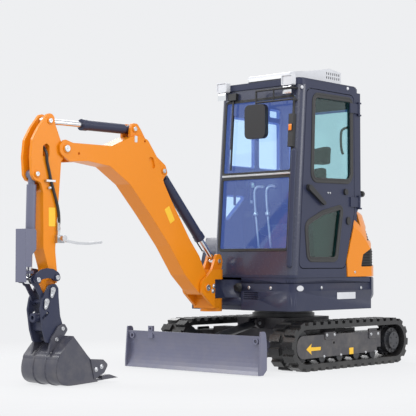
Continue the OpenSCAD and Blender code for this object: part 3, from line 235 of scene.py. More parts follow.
def build_dust_group():
    """Dry dust that lies on surfaces facing up and gathers towards the ground."""
    s, given, out = new_group(
        "Dry Dust", [("Amount", FLOAT, 0.3), ("Reach", FLOAT, 0.7), ("Scale", FLOAT, 9.0)], [("Mask", FLOAT)])
    place = s.place()
    height = s.add("ShaderNodeSeparateXYZ", {0: place}).outputs["Z"]
    low = s.math("SUBTRACT", 1.0, s.math("DIVIDE", height, given["Reach"]), clamp=True)
    normal = s.add("ShaderNodeNewGeometry").outputs["Normal"]
    up = s.spread(s.add("ShaderNodeSeparateXYZ", {0: normal}).outputs["Z"], 0.2, 1.0)
    cloud = s.spread(s.noise(place, given["Scale"], 7.0, 0.62), 0.42, 0.72)
    amount = s.math("MULTIPLY", s.math("ADD", s.math("MULTIPLY", up, 0.6), low), cloud)
    s.feed(out, mask=s.math("MULTIPLY", amount, given["Amount"], clamp=True))
    return s.tree


def build_grain_group():
    """Fine leathery grain of moulded plastic and rubber."""
    s, given, out = new_group(
        "Moulded Grain", [("Scale", FLOAT, 420.0), ("Roughness", FLOAT, 0.6)],
        [("Height", FLOAT), ("Roughness", FLOAT)])
    place = s.place()
    cells = s.add("ShaderNodeTexVoronoi", {"Vector": place, "Scale": given["Scale"]}).outputs["Distance"]
    gloss = s.math("ADD", given["Roughness"], s.swing(s.noise(place, 14.0, 5.0), 0.22))
    s.feed(out, height=cells, roughness=gloss)
    return s.tree


def build_weave_group():
    """Over and under threads of a woven cloth, with painted shade on their low parts and painted light on
    their high ones.
    """
    s, given, out = new_group(
        "Woven Threads", [("Pitch", FLOAT, 0.0022)], [("Height", FLOAT), ("Shade", FLOAT)])
    axes = s.add("ShaderNodeSeparateXYZ", {0: s.place()}).outputs
    turn = s.math("DIVIDE", 2 * math.pi, given["Pitch"])
    length = s.math("ADD", axes["X"], axes["Z"])
    warp = s.math("SINE", s.math("MULTIPLY", length, turn))
    weft = s.math("SINE", s.math("MULTIPLY", axes["Y"], turn))
    height = s.math("MULTIPLY", warp, weft)
    s.feed(out, height=height, shade=s.spread(height, -1.0, 1.0, 0.75, 1.15))
    return s.tree


GROUPS = {}


def place_group(shade, key, **sockets):
    """Places a shared effect in a material's tree."""
    made = shade.add("ShaderNodeGroup", node_tree=GROUPS[key])
    shade.feed(made.inputs, **sockets)
    return made.outputs


def new_material(name):
    """An empty material; returns it, its node helper and the sockets of its shader."""
    made = bpy.data.materials.new(name)
    made.use_nodes = True
    return made, Shade(made.node_tree), made.node_tree.nodes["Principled BSDF"].inputs


def dusted(s, sockets, colour, roughness, rough_by, dust, reach=0.7):
    """Lays dust over a colour and a roughness."""
    dirt = place_group(s, "dust", amount=dust, reach=reach)["Mask"]
    rough = s.math("ADD", roughness, s.math("MULTIPLY", dirt, rough_by), clamp=True)
    s.feed(sockets, base_color=s.mix(dirt, colour, rgba(colours().dust)), roughness=rough)


def painted(name, colour, roughness, coat, gloss, worn, worn_colour, dust):
    """Coat of paint over steel, with rounded edges, light wear and dust."""
    made, s, sockets = new_material(name)
    paint = place_group(s, "mottle", color=rgba(colour), variation=0.08, roughness=roughness)
    rim = place_group(s, "edge", radius=0.004, amount=worn)
    bare = s.mix(rim["Mask"], paint["Color"], rgba(worn_colour))
    dusted(s, sockets, bare, paint["Roughness"], 0.4, dust)
    s.feed(sockets, normal=s.bump(paint["Height"], 0.03, normal=rim["Normal"]),
           coat_weight=coat, coat_roughness=0.12, specular_ior_level=gloss)
    return made


def moulded(name, colour, roughness, scale=420.0, relief=0.12, edge=0.003, dust=0.12, reach=0.7):
    """Grained plastic or rubber."""
    made, s, sockets = new_material(name)
    grain = place_group(s, "grain", scale=scale, roughness=roughness)
    rim = place_group(s, "edge", radius=edge, amount=0.0)
    tone = place_group(s, "mottle", color=rgba(colour), variation=0.25)
    dusted(s, sockets, tone["Color"], grain["Roughness"], 0.3, dust, reach)
    s.feed(sockets, normal=s.bump(grain["Height"], relief, normal=rim["Normal"]))
    return made


def metal(name, colour, roughness):
    """Bare or plated steel with fine streaks."""
    made, s, sockets = new_material(name)
    tone = place_group(
        s, "mottle", color=rgba(colour), variation=0.12, roughness=roughness, peel_scale=60.0)
    rim = place_group(s, "edge", radius=0.002, amount=0.0)
    s.feed(sockets, base_color=tone["Color"], roughness=tone["Roughness"], metallic=1.0,
           normal=s.bump(tone["Height"], 0.02, normal=rim["Normal"]))
    return made


def glazing(name, colour, painted_sky_reflection):
    """Tinted safety glass, thin enough to see through straight, with a painted reflection of the sky: a faint
    emission, though the glass is no lamp.
    """
    made, s, sockets = new_material(name)
    film = s.spread(s.noise(s.place(), 3.0, 6.0), 0.35, 0.75, 0.01, 0.05)
    s.feed(sockets, roughness=film, base_color=rgba(colour), transmission_weight=1.0, ior=1.45,
           emission_color=rgba(painted_sky_reflection), emission_strength=1.0)
    return made


def woven(name, colour):
    """Woven seat cloth."""
    made, s, sockets = new_material(name)
    weave = place_group(s, "weave", pitch=0.0028)
    tone = place_group(s, "mottle", color=rgba(colour), variation=0.3, roughness=0.85)
    # The weave's Shade output paints shade and light on the cloth by the threads' height.
    shaded = s.add("ShaderNodeHueSaturation", {"Color": tone["Color"], "Value": weave["Shade"]}).outputs[0]
    s.feed(sockets, base_color=shaded, roughness=tone["Roughness"], sheen_weight=0.25,
           normal=s.bump(weave["Height"], 0.35))
    return made


FINISHES = {}

# Which finish each solid takes
NODE_FINISH = {
    "orange": "side_cover_left side_cover_right hood tank_cover swing_post boom arm",
    "slate": "house_frame skirt counterweight cab_floor cab_right_wall cab_rear_wall cab_left_frame "
             "cab_roof door grab_rail rocker link hitch boom_barrel arm_barrel",
    "front": "cab_front",
    "chassis": "carbody track_frame_left track_frame_right engine",
    "blade": "blade rod_guard bucket_barrel",
    "bucket": "bucket",
    "black": "slew_ring track_rollers idlers sprockets blade_barrel",
    "rubber": "track_left track_right",
    "hose": "aux_hose",
    "glass": "cab_glass",
    "door_glass": "door_glass",
    "cloth": "seat",
    "plastic": "seat_base consoles mirror wiper roof_base post_lamp door_handle",
    "white": "roof_unit work_lamps",
    "chrome": "boom_rod arm_rod bucket_rod blade_rod",
    "zinc": "aux_valve travel_levers",
}

# Paints as (colour, roughness, coat, gloss, wear, colour of the wear, dust)
PAINTS = {
    "orange": ("orange", 0.34, 0.15, 0.25, 0.10, (0.55, 0.20, 0.02), 0.06),
    "slate": ("slate", 0.36, 0.12, 0.25, 0.12, (0.12, 0.13, 0.15), 0.10),
    "front": ("slate", 0.26, 0.55, 0.50, 0.10, (0.12, 0.13, 0.15), 0.08),
    "chassis": ("chassis", 0.40, 0.15, 0.50, 0.25, (0.14, 0.14, 0.15), 0.30),
    "blade": ("blade", 0.36, 0.25, 0.50, 0.35, (0.24, 0.24, 0.25), 0.16),
    "bucket": ("bucket", 0.38, 0.30, 0.50, 0.45, (0.30, 0.30, 0.31), 0.18),
    "black": ("black", 0.40, 0.15, 0.50, 0.20, (0.10, 0.10, 0.10), 0.12),
}


class EXCAVATOR_OT_finishes(bpy.types.Operator):
    """Builds the shared effects and finishes and puts them on the solids"""

    bl_idname = "excavator.finishes"
    bl_label = "Paint the solids"

    def execute(self, context):
        c = colours()
        GROUPS.update({
            "edge": build_edge_group(), "mottle": build_mottle_group(), "dust": build_dust_group(),
            "grain": build_grain_group(), "weave": build_weave_group()})
        for finish, (colour, *values) in PAINTS.items():
            FINISHES[finish] = painted(f"{finish}_paint", getattr(c, colour), *values)
        FINISHES.update({
            "rubber": moulded("track_rubber", c.rubber, 0.30, 260.0, 0.18, edge=0.006, dust=0.10, reach=0.35),
            "hose": moulded("hose_rubber", c.rubber, 0.45, 700.0, 0.06),
            "plastic": moulded("black_plastic", (0.014, 0.014, 0.016), 0.48),
            "white": moulded("white_plastic", c.white, 0.34, 600.0, 0.03, dust=0.05),
            "label": moulded("yellow_label", c.label, 0.38, 500.0, 0.02),
            "pale": moulded("pale_plate", c.white, 0.30, 500.0, 0.02),
            "amber": moulded("amber_lens", (0.80, 0.22, 0.01), 0.12, 500.0, 0.02),
            # Near-black finish of the vent louvres and roof slots: painted shade of the openings, over the
            # louvres' own black.
            "mesh": moulded("vent_louvres_and_painted_shade", (0.006, 0.006, 0.007), 0.70),
            "chrome": metal("chrome_rod", (0.72, 0.73, 0.75), 0.10),
            "zinc": metal("zinc_steel", (0.56, 0.57, 0.59), 0.30),
            "lens": metal("lamp_lens", (0.86, 0.88, 0.90), 0.16),
            "mirror": metal("mirror_silver", (0.88, 0.90, 0.92), 0.03),
            # The last colour of each glass is its painted reflection of the sky, given as emission.
            "glass": glazing("tinted_glass", c.glass, (0.030, 0.048, 0.150)),
            "door_glass": glazing("green_glass", c.door_glass, (0.002, 0.007, 0.006)),
            "cloth": woven("seat_cloth", c.cloth),
        })
        for finish, names in NODE_FINISH.items():
            for name in names.split():
                put_finish(NODES[name], finish)
        return {"FINISHED"}


def put_finish(obj, finish):
    """Sets every material slot of an object to one finish."""
    if not obj.material_slots:
        obj.data.materials.append(None)
    for slot in obj.material_slots:
        slot.material = FINISHES[finish]


# The frame's origin lies this far ahead of the slew axis, in millimetres
MID_X = 1086.0


def at(x, y, z):
    """A drawing point in millimetres from the slew axis, as a place in the frame."""
    return Vector((x - MID_X, y, z)) / 1000.0


def new_piece(name, body, finish, bm, smooth=True):
    """Makes an object from a bmesh, finishes it and lets it ride on a body."""
    bmesh.ops.recalc_face_normals(bm, faces=bm.faces)
    mesh = bpy.data.meshes.new(name)
    bm.to_mesh(mesh)
    bm.free()
    obj = bpy.data.objects.new(name, mesh)
    bpy.context.scene.collection.objects.link(obj)
    if smooth:
        for face in mesh.polygons:
            face.use_smooth = True
        mesh.set_sharp_from_angle(angle=math.radians(32))
    put_finish(obj, finish)
    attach(obj, body)
    return obj


def axes_of(normal):
    """The unit normal and two unit vectors across it; the last points up where it can."""
    normal = Vector(normal).normalized()
    side = Vector((0, 0, 1)).cross(normal)
    side = side.normalized() if side.length > 1e-6 else Vector((1, 0, 0))
    return normal, side, normal.cross(side)


def circle(r, sides, start=0.0):
    """Points of a circle as (across, up) rows."""
    turns = (2 * math.pi * (k + start) / sides for k in range(sides))
    return [(r * math.cos(a), r * math.sin(a)) for a in turns]


def bridge_rings(bm, rings, closed=False):
    """Joins rings of equal length into a skin, with its ends closed."""
    loops = [[bm.verts.new(p) for p in ring] for ring in rings]
    n = len(loops[0])
    pairs = list(zip(loops, loops[1:])) + ([(loops[-1], loops[0])] if closed else [])
    for low, high in pairs:
        for k in range(n):
            bm.faces.new((low[k], low[(k + 1) % n], high[(k + 1) % n], high[k]))
    if not closed:
        bm.faces.new(reversed(loops[0]))
        bm.faces.new(loops[-1])


def lathe(bm, place, normal, profile, sides=24):
    """Turns a profile of (radius, height) rows in millimetres about a normal."""
    normal, side, up = axes_of(normal)
    bridge_rings(bm, [
        [place + (normal * height + side * u + up * v) / 1000 for u, v in circle(max(radius, 0.05), sides)]
        for radius, height in profile])


def bolt(bm, place, normal, r):
    """Hexagon bolt on a washer."""
    lathe(bm, place, normal, [(1.75 * r, 0), (1.75 * r, 0.22 * r), (1.6 * r, 0.3 * r)], 20)
    lathe(bm, place, normal, [(1.12 * r, 0.2 * r), (1.12 * r, 0.78 * r), (0.95 * r, 0.95 * r)], 6)


def cap(bm, place, normal, r, h):
    """Turned pin end with a chamfer and a grease nipple."""
    lathe(bm, place, normal, [
        (r, 0), (r, 0.7 * h), (r - 0.35 * h, h), (0.5 * r, h),
        (0.46 * r, 0.75 * h), (0.16 * r, 0.75 * h)], 28)
    lathe(bm, place, normal, [(0.15 * r, 0.7 * h), (0.15 * r, 1.3 * h), (0.08 * r, 1.6 * h)], 10)


def slab_of(bm, place, normal, outline, thick, chamfer=0.8):
    """Thin plate with chamfered edges; outline in millimetres across and up."""
    normal, side, up = axes_of(normal)
    mid = Vector((sum(p[0] for p in outline), sum(p[1] for p in outline))) / len(outline)
    rings = []
    for inset, height in ((0, 0), (0, thick - chamfer), (chamfer, thick)):
        ring = []
        for p in outline:
            out = Vector(p) - mid
            q = mid + out * max(0.0, 1 - inset / max(out.length, 1e-6))
            ring.append(place + (side * q[0] + up * q[1] + normal * height) / 1000)
        rings.append(ring)
    bridge_rings(bm, rings)


def round_box(w, h, r, n=5):
    """Outline of a rounded rectangle about its middle."""
    x, y = w / 2 - r, h / 2 - r
    points = []
    for cx, cy, start in ((x, y, 0), (-x, y, 90), (-x, -y, 180), (x, -y, 270)):
        for k in range(n + 1):
            a = math.radians(start + 90 * k / n)
            points.append((cx + r * math.cos(a), cy + r * math.sin(a)))
    return points


def turned(outline, degrees, dx=0.0, dy=0.0):
    """An outline turned about the origin and shifted."""
    c, s = math.cos(math.radians(degrees)), math.sin(math.radians(degrees))
    return [(x * c - y * s + dx, x * s + y * c + dy) for x, y in outline]


def smooth_path(points, steps=6):
    """A smooth curve through points."""
    path = []
    ends = [points[0], *points, points[-1]]
    for a, b, c, d in zip(ends, ends[1:], ends[2:], ends[3:]):
        for k in range(steps):
            t = k / steps
            square, cube = 2 * a - 5 * b + 4 * c - d, 3 * b - a - 3 * c + d
            path.append(b + (c - a) * t / 2 + square * t * t / 2 + cube * t ** 3 / 2)
    path.append(points[-1])
    return path


def sweep(bm, path, section, up, closed=False):
    """Carries a section of (across, up) rows in millimetres along a path whose up side is given.

    The section may also be a function that gives one for each place on the path."""
    up = Vector(up).normalized()
    n = len(path)
    rings = []
    for i, p in enumerate(path):
        ahead = path[(i + 1) % n] if closed or i < n - 1 else p
        back = path[i - 1] if closed or i > 0 else p
        along = (ahead - back).normalized()
        across = along.cross(up).normalized()
        rise = across.cross(along)
        rows = section(i) if callable(section) else section
        rings.append([p + (across * u + rise * v) / 1000 for u, v in rows])
    bridge_rings(bm, rings, closed)


def rounded(points, radii, n=5):
    """An outline with round corners, of one radius or with one to a corner."""
    out = []
    for i, p in enumerate(points):
        p, a, b = Vector(p), Vector(points[i - 1]), Vector(points[(i + 1) % len(points)])
        r = radii if isinstance(radii, (int, float)) else radii[i]
        u, w = (a - p).normalized(), (b - p).normalized()
        half = u.angle(w) / 2
        mid = p + (u + w).normalized() * r / math.sin(half)
        start, end = p + u * r / math.tan(half) - mid, p + w * r / math.tan(half) - mid
        out += [mid + start.slerp(end, k / n) * r for k in range(n + 1)]
    return out


# Measures of the drawing in millimetres: the cab's front edge, floor, lean, walls and middle
CAB_FRONT, CAB_FLOOR = 823.0, 775.0
RAKE = math.radians(4.5)
CAB_LEFT, CAB_RIGHT, CAB_REAR, CAB_MID = 745.0, -135.0, -150.0, 305.0
ROOF_FRONT = 706.5

# How far the outer faces of skirt, track frame, post, hitch, boom and arm lie from the middle
SKIRT_SIDE, TRACK_SIDE, POST_SIDE, HITCH_SIDE, BOOM_SIDE, ARM_SIDE = 739, 720, 110, 87, 80, 58

# Directions, the cab front's among them
FRONT = (math.cos(RAKE), 0.0, math.sin(RAKE))
LEFT = (0.0, 1.0, 0.0)
RIGHT = (0.0, -1.0, 0.0)
AHEAD = (1.0, 0.0, 0.0)
BACK = (-1.0, 0.0, 0.0)
UP = (0.0, 0.0, 1.0)
BOTH_SIDES = ((1, LEFT), (-1, RIGHT))

# Window openings: sashes by their low and high edge, panes by their corners and radii
SASHES = ((1006, 1616), (1656, 2284))
DOOR_PANES = (
    ([(28, 1600), (556, 1588), (528, 2306), (-12, 2312), (-12, 1660)], [60, 60, 60, 40, 40]),
    ([(218, 926), (612, 926), (642, 1222), (413, 1318), (130, 1380)], [50, 50, 70, 40, 30]),
)
RIGHT_PANES = (
    ([(270, 1740), (632, 1740), (600, 2180), (270, 2180)], 30),
    ([(-92, 1740), (226, 1740), (226, 2180), (-92, 2180)], 30),
    ([(390, 1490), (668, 1490), (684, 1270), (640, 1270)], 20),
    ([(-92, 2216), (70, 2216), (70, 2300), (-92, 2300)], 22),
)


def raked(x, y, z):
    """A point on the leaning cab front: depth before the face, then left, then height above ground."""
    up = (z - CAB_FLOOR) / math.cos(RAKE)
    return at(CAB_FRONT + x * math.cos(RAKE) - up * math.sin(RAKE), y,
              CAB_FLOOR + x * math.sin(RAKE) + up * math.cos(RAKE))


def lip(width, height):
    """Section of a window seal: a low bulge with a groove along its middle."""
    w, h = width / 2, height
    return [(-w, -3), (-w, 0.5 * h), (-0.75 * w, h), (-0.2 * w, h), (0, 0.7 * h),
            (0.2 * w, h), (0.75 * w, h), (w, 0.5 * h), (w, -3)]


class EXCAVATOR_OT_seals(bpy.types.Operator):
    """Fits black rubber seals round the windows and a bright bar on the sash"""

    bl_idname = "excavator.seals"
    bl_label = "Fit the window seals"

    def execute(self, context):
        fixed, door, bar = (bmesh.new() for _ in range(3))
        for low, high in SASHES:
            box = turned(round_box(744, high - low, 26), 0, CAB_MID, (low + high) / 2)
            self.seal(fixed, [raked(0, y, z) for y, z in box], "front_seal", 7, FRONT)
        for points, radii in RIGHT_PANES:
            path = [at(x, CAB_RIGHT, z) for x, z in rounded(points, radii)]
            self.seal(fixed, path, "side_seal", 6, RIGHT)
        box = turned(round_box(650, 764, 34), 0, CAB_MID, 1865)
        self.seal(fixed, [at(CAB_REAR, y, z) for y, z in box], "side_seal", 6, BACK)
        for points, radii in DOOR_PANES:
            path = [at(x, CAB_LEFT, z) for x, z in rounded(points, radii)]
            self.seal(door, path, "door_seal", 7, LEFT)
        sweep(bar, [raked(4, y, 1640) for y in (-66, 120, 300, 490, 676)],
              [(-9, -6), (-9, 3), (-6, 6), (6, 6), (9, 3), (9, -6)], FRONT)
        new_piece("window_seals", "house", "hose", fixed)
        new_piece("door_seals", "door", "hose", door)
        new_piece("sash_bar", "house", "zinc", bar)
        return {"FINISHED"}

    def seal(self, bm, path, size, height, normal):
        sweep(bm, path, lip(size_of(size), height), normal, closed=True)


# Outer ends of the pins as (body, x, z, distance from the middle, radius)
PIN_ENDS = (
    ("swing_post", 1150, 692, 117, 25), ("swing_post", 952, 912, 65, 18), ("boom", 1622, 1637, 63, 18),
    ("boom", 1955, 1950, 63, 18), ("boom", 2687, 1743, 87, 26), ("arm", 2833, 1940, 65, 18),
    ("arm", 2955, 1541, 65, 18), ("rocker", 2792, 789, 105, 18), ("rocker", 2973, 774, 105, 18),
    ("bucket", 2734, 414, 99, 16), ("bucket", 2794, 337, 99, 16),
    ("blade", 1088, 235, 59, 16), ("undercarriage", 400, 372, 52, 16),
)

# Keeper plates on the hitch as (x, z, lean in degrees), and how far their bolt lies below the pin
KEEPERS = ((2822, 697, -16), (2881, 615, -14))
KEEPER_TAIL = 44


class EXCAVATOR_OT_pins(bpy.types.Operator):
    """Turns the bright pin ends and puts keeper plates on the hitch"""

    bl_idname = "excavator.pins"
    bl_label = "Turn the pin ends"

    def execute(self, context):
        meshes = {}
        for body, x, z, reach, r in PIN_ENDS:
            bm = meshes.setdefault(body, bmesh.new())
            for s in (-1, 1):
                cap(bm, at(x, s * reach, z), (0, s, 0), r, size_of("pin_end"))
        for x, z, lean in KEEPERS:
            for s in (-1, 1):
                self.keeper(meshes["bucket"], x, z, lean, s)
        for body, bm in meshes.items():
            new_piece(f"pin_ends_{body}", body, "zinc", bm)
        return {"FINISHED"}

    def keeper(self, bm, x, z, lean, s):
        """Figure of eight plate: a ring on the pin and a tail under one bolt."""
        thick, turn = 6, (0, s, 0)
        outline = []
        for middle, reach, r, drop in ((90, 5, 23, 0), (270, 4, 15, KEEPER_TAIL)):
            for k in range(-reach, reach + 1):
                a = math.radians(middle + 24 * k)
                outline.append((r * math.cos(a), r * math.sin(a) - drop))
        slab_of(bm, at(x, s * HITCH_SIDE, z), turn, turned(outline, s * lean), thick)
        dx, dz = turned([(0, -KEEPER_TAIL)], -lean)[0]
        lathe(bm, at(x + dx, s * (HITCH_SIDE - 7), z + dz), turn, [(12, 0), (12, 8)], 20)
        bolt(bm, at(x + dx, s * (HITCH_SIDE + thick), z + dz), turn, 7)
        cap(bm, at(x, s * (HITCH_SIDE + thick), z), turn, 13, 5)


HUB_X, HUB_Z = -680, 203

# Brackets on the track frames as (x, z, width), the single bolts beside them and those of the post
BRACKETS = ((276, 282, 160), (-380, 264, 176))
FRAME_BOLTS = ((-403, 116), (360, 112), (-250, 116), (120, 114))
POST_BOLTS = ((1071, 705), (1083, 664))


class EXCAVATOR_OT_bolts(bpy.types.Operator):
    """Screws hexagon bolts into skirt, covers, post, track frames and hubs"""

    bl_idname = "excavator.bolts"
    bl_label = "Screw in the bolts"

    def execute(self, context):
        house, post, tracks, hubs, plates = (bmesh.new() for _ in range(5))
        for y in (279, 512):
            bolt(house, at(819, y, 690), AHEAD, 8)
        for s, turn in BOTH_SIDES:
            for x, z in ((-156, 682), (420, 690)):
                bolt(house, at(x, s * SKIRT_SIDE, z), turn, 8)
            for x, z in POST_BOLTS:
                bolt(post, at(x, s * POST_SIDE, z), turn, 11)
            for x, z, w in BRACKETS:
                slab_of(plates, at(x, s * (TRACK_SIDE - 1), z), turn, round_box(w, 66, 14), 8, 2)
                for off in (-54, 54):
                    bolt(tracks, at(x + off, s * (TRACK_SIDE + 7), z + 8), turn, 8)
            for x, z in FRAME_BOLTS:
                bolt(tracks, at(x, s * TRACK_SIDE, z), turn, 7)
            for ring, reach, r in ((circle(96, 12), 705, 7), (circle(52, 6, 0.5), 732, 6)):
                for dx, dz in ring:
                    bolt(hubs, at(HUB_X + dx, s * reach, HUB_Z + dz), turn, r)
        bolt(house, at(-58, CAB_LEFT, 819), LEFT, 7)
        for name, body, finish, bm in (
            ("house_bolts", "house", "zinc", house), ("post_bolts", "swing_post", "zinc", post),
            ("track_bolts", "undercarriage", "zinc", tracks), ("hub_bolts", "undercarriage", "black", hubs),
            ("track_brackets", "undercarriage", "chassis", plates),
        ):
            new_piece(name, body, finish, bm)
        return {"FINISHED"}


ARROW = ((100, 0), (28, 46), (36, 16), (-100, 14), (-100, -14), (36, -16), (28, -46))


class EXCAVATOR_OT_labels(bpy.types.Operator):
    """Sticks on the blank labels, the plates and the travel arrows"""

    bl_idname = "excavator.labels"
    bl_label = "Stick on the labels"

    def execute(self, context):
        arm, boom, plate, skirt, tracks = (bmesh.new() for _ in range(5))
        thick = size_of("label")
        slab_of(arm, at(2810, ARM_SIDE, 1232), LEFT, round_box(64, 140, 8), thick)
        slab_of(boom, at(1578, BOOM_SIDE, 1284), LEFT, turned(round_box(62, 132, 7), 31), thick)
        slab_of(plate, at(1963, BOOM_SIDE, 1868), LEFT, round_box(30, 52, 5), 1.4)
        slab_of(skirt, at(74, CAB_LEFT, 618), LEFT, round_box(270, 58, 4), 2.0)
        oval = [(46 * u, 24 * v) for u, v in circle(1, 28)]
        slab_of(skirt, at(716, SKIRT_SIDE, 687), LEFT, oval, 3.0, 1.4)
        for s, turn in BOTH_SIDES:
            # seen from its own side, an outline's across runs to the rear on the left and ahead on the right
            slab_of(tracks, at(512, s * TRACK_SIDE, 181), turn, [(-s * x, z) for x, z in ARROW], thick)
            slab_of(tracks, at(-31, s * TRACK_SIDE, 139), turn, round_box(62, 56, 5), thick)
        for name, body, finish, bm in (
            ("arm_label", "arm", "label", arm), ("boom_label", "boom", "label", boom),
            ("boom_plate", "boom", "pale", plate), ("skirt_plates", "house", "pale", skirt),
            ("track_marks", "undercarriage", "label", tracks),
        ):
            new_piece(name, body, finish, bm, smooth=False)
        return {"FINISHED"}


class EXCAVATOR_OT_lamps(bpy.types.Operator):
    """Glazes the lamps, sets the roof's markers and silvers the mirror"""

    bl_idname = "excavator.lamps"
    bl_label = "Glaze lamps and mirror"

    def execute(self, context):
        lens, amber, domes, glass = (bmesh.new() for _ in range(4))
        for y in (CAB_RIGHT + 55, CAB_LEFT - 108):
            self.ribbed(lens, at(ROOF_FRONT + 45, y, 2334), AHEAD, 92, 62)
        self.ribbed(amber, raked(41, 678, 2015), FRONT, 32, 52)
        for x, z in ((690, 2352), (40, 2408)):
            lathe(domes, at(x, CAB_LEFT - 2, z), LEFT, [(15, 0), (15, 4), (13, 8), (8, 12), (0, 13)], 20)
        slab_of(glass, at(766, 325, 2088), BACK, round_box(196, 260, 40, 6), 3.0)
        for name, finish, bm in (
            ("lamp_lenses", "lens", lens), ("post_lamp_lens", "amber", amber),
            ("roof_markers", "pale", domes), ("mirror_face", "mirror", glass),
        ):
            new_piece(name, "house", finish, bm)
        return {"FINISHED"}

    def ribbed(self, bm, place, normal, w, h):
        """A lens with upright flutes, bulging a little."""
        n, side, up = axes_of(normal)
        across, down, flutes = 28, 8, 9
        rows = []
        for j in range(down + 1):
            v = j / down * 2 - 1
            row = []
            for i in range(across + 1):
                u = i / across * 2 - 1
                bulge = 0.006 * (1 - u ** 4) * (1 - v ** 4)
                rise = bulge + 0.0012 * abs(math.sin(u * flutes * math.pi / 2))
                row.append(bm.verts.new(place + side * (u * w / 2000) + up * (v * h / 2000) + n * rise))
            rows.append(row)
        for j in range(down):
            for i in range(across):
                bm.faces.new((rows[j][i], rows[j][i + 1], rows[j + 1][i + 1], rows[j + 1][i]))


# How the seat's pads are filled: voxel size in metres, air pressure and the last frame
PAD_VOXEL, PAD_VOXEL_QUICK = 0.006, 0.014
PAD_PRESSURE = 4.0
PAD_FRAMES = 20


def swell(piece, limit):
    """Fills a closed pad with air by cloth and keeps each point within limit of where it was."""
    even = piece.modifiers.new("even", "REMESH")
    even.mode = "VOXEL"
    even.voxel_size = PAD_VOXEL
    settle(piece)
    start = [v.co.copy() for v in piece.data.vertices]
    air = piece.modifiers.new("air", "CLOTH")
    air.settings.quality = 3
    air.settings.use_pressure = True
    air.settings.uniform_pressure_force = PAD_PRESSURE
    air.settings.effector_weights.gravity = 0.0
    air.point_cache.frame_start = 1
    air.point_cache.frame_end = PAD_FRAMES
    for step in range(1, PAD_FRAMES + 1):
        bpy.context.scene.frame_set(step)
    settle(piece)
    for v, first in zip(piece.data.vertices, start):
        move = v.co - first
        if move.length > limit:
            v.co = first + move.normalized() * limit
    bpy.context.scene.frame_set(1)


def settle(piece):
    """Makes the evaluated shape the mesh and clears the modifiers."""
    graph = bpy.context.evaluated_depsgraph_get()
    made = bpy.data.meshes.new_from_object(piece.evaluated_get(graph))
    made.materials.clear()
    for m in piece.data.materials:
        made.materials.append(m)
    piece.modifiers.clear()
    piece.data = made


def seam(piece, along, depth, faces, width=0.011):
    """Presses a sewn groove where along(point) is zero, on the sides that face the given way."""
    mesh = piece.data
    normals = [Vector(n.vector) for n in mesh.vertex_normals]
    for v, n in zip(mesh.vertices, normals):
        if n.dot(Vector(faces)) > 0.35:
            v.co -= n * depth * math.exp(-((along(v.co) / width) ** 2))


SEAT_MID = 300

# Pads of the seat as (name, side outline, half width, how far a point may swell in metres)
SEAT_PADS = (
    ("seat_cushion", [(36, 1150), (488, 1150), (500, 1168), (486, 1204), (40, 1196)], 204, 0.026),
    ("seat_back", [(30, 1214), (84, 1214), (62, 1480), (36, 1742), (-20, 1748), (-14, 1480)], 190, 0.024),
    ("seat_head", [(-68, 1768), (2, 1768), (-14, 1926), (-78, 1930)], 190, 0.022),
)

# Grooves of a pad as (axis of the point, place on it in metres, depth, the way its side faces)
SEAT_SEAMS = {
    "seat_cushion": (("y", 0.19, 0.009, UP), ("y", 0.41, 0.009, UP), ("x", at(330, 0, 0).x, 0.008, UP)),
    "seat_back": (("y", 0.2, 0.008, AHEAD), ("y", 0.4, 0.008, AHEAD),
                  ("z", 1.42, 0.009, AHEAD), ("z", 1.60, 0.009, AHEAD)),
}


class EXCAVATOR_OT_seat(bpy.types.Operator):
    """Upholsters the seat with cushions that are filled by cloth"""

    bl_idname = "excavator.seat"
    bl_label = "Upholster the seat"

    def execute(self, context):
        for name, side, half, limit in SEAT_PADS:
            piece = new_piece(name, "house", "cloth", self.pad(side, half))
            swell(piece, limit)
            for axis, spot, depth, faces in SEAT_SEAMS.get(name, ()):
                seam(piece, lambda p: getattr(p, axis) - spot, depth, faces)
            for poly in piece.data.polygons:
                poly.use_smooth = True
            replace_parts(piece, "seat")
        bars = bmesh.new()
        for s in (-1, 1):
            upright = ((40, 216, 1160), (-20, 222, 1190), (-40, 222, 1300), (-46, 214, 1500))
            path = smooth_path([at(x, SEAT_MID + s * y, z) for x, y, z in upright])
            sweep(bars, path, circle(size_of("grip"), 10), LEFT)
            rest = ((-36, 236, 1400), (60, 240, 1412), (220, 240, 1410))
            path = smooth_path([at(x, SEAT_MID + s * y, z) for x, y, z in rest])
            sweep(bars, path, [(-24, -14), (-24, 10), (-16, 18), (16, 18), (24, 10), (24, -14)], UP)
        new_piece("seat_frame", "house", "plastic", bars)
        return {"FINISHED"}

    def pad(self, side, half):
        """A plump block: the side outline, drawn in at both ends."""
        bm = bmesh.new()
        mid = Vector((sum(p[0] for p in side) / len(side), sum(p[1] for p in side) / len(side)))
        outline = rounded(side, 14, 4)
        rings = []
        for off, keep in ((-half, 0.80), (14 - half, 0.96), (40 - half, 1.0),
                          (half - 40, 1.0), (half - 14, 0.96), (half, 0.80)):
            points = [mid + (p - mid) * keep for p in outline]
            rings.append([at(p.x, SEAT_MID + off, p.y) for p in points])
        bridge_rings(bm, rings)
        return bm


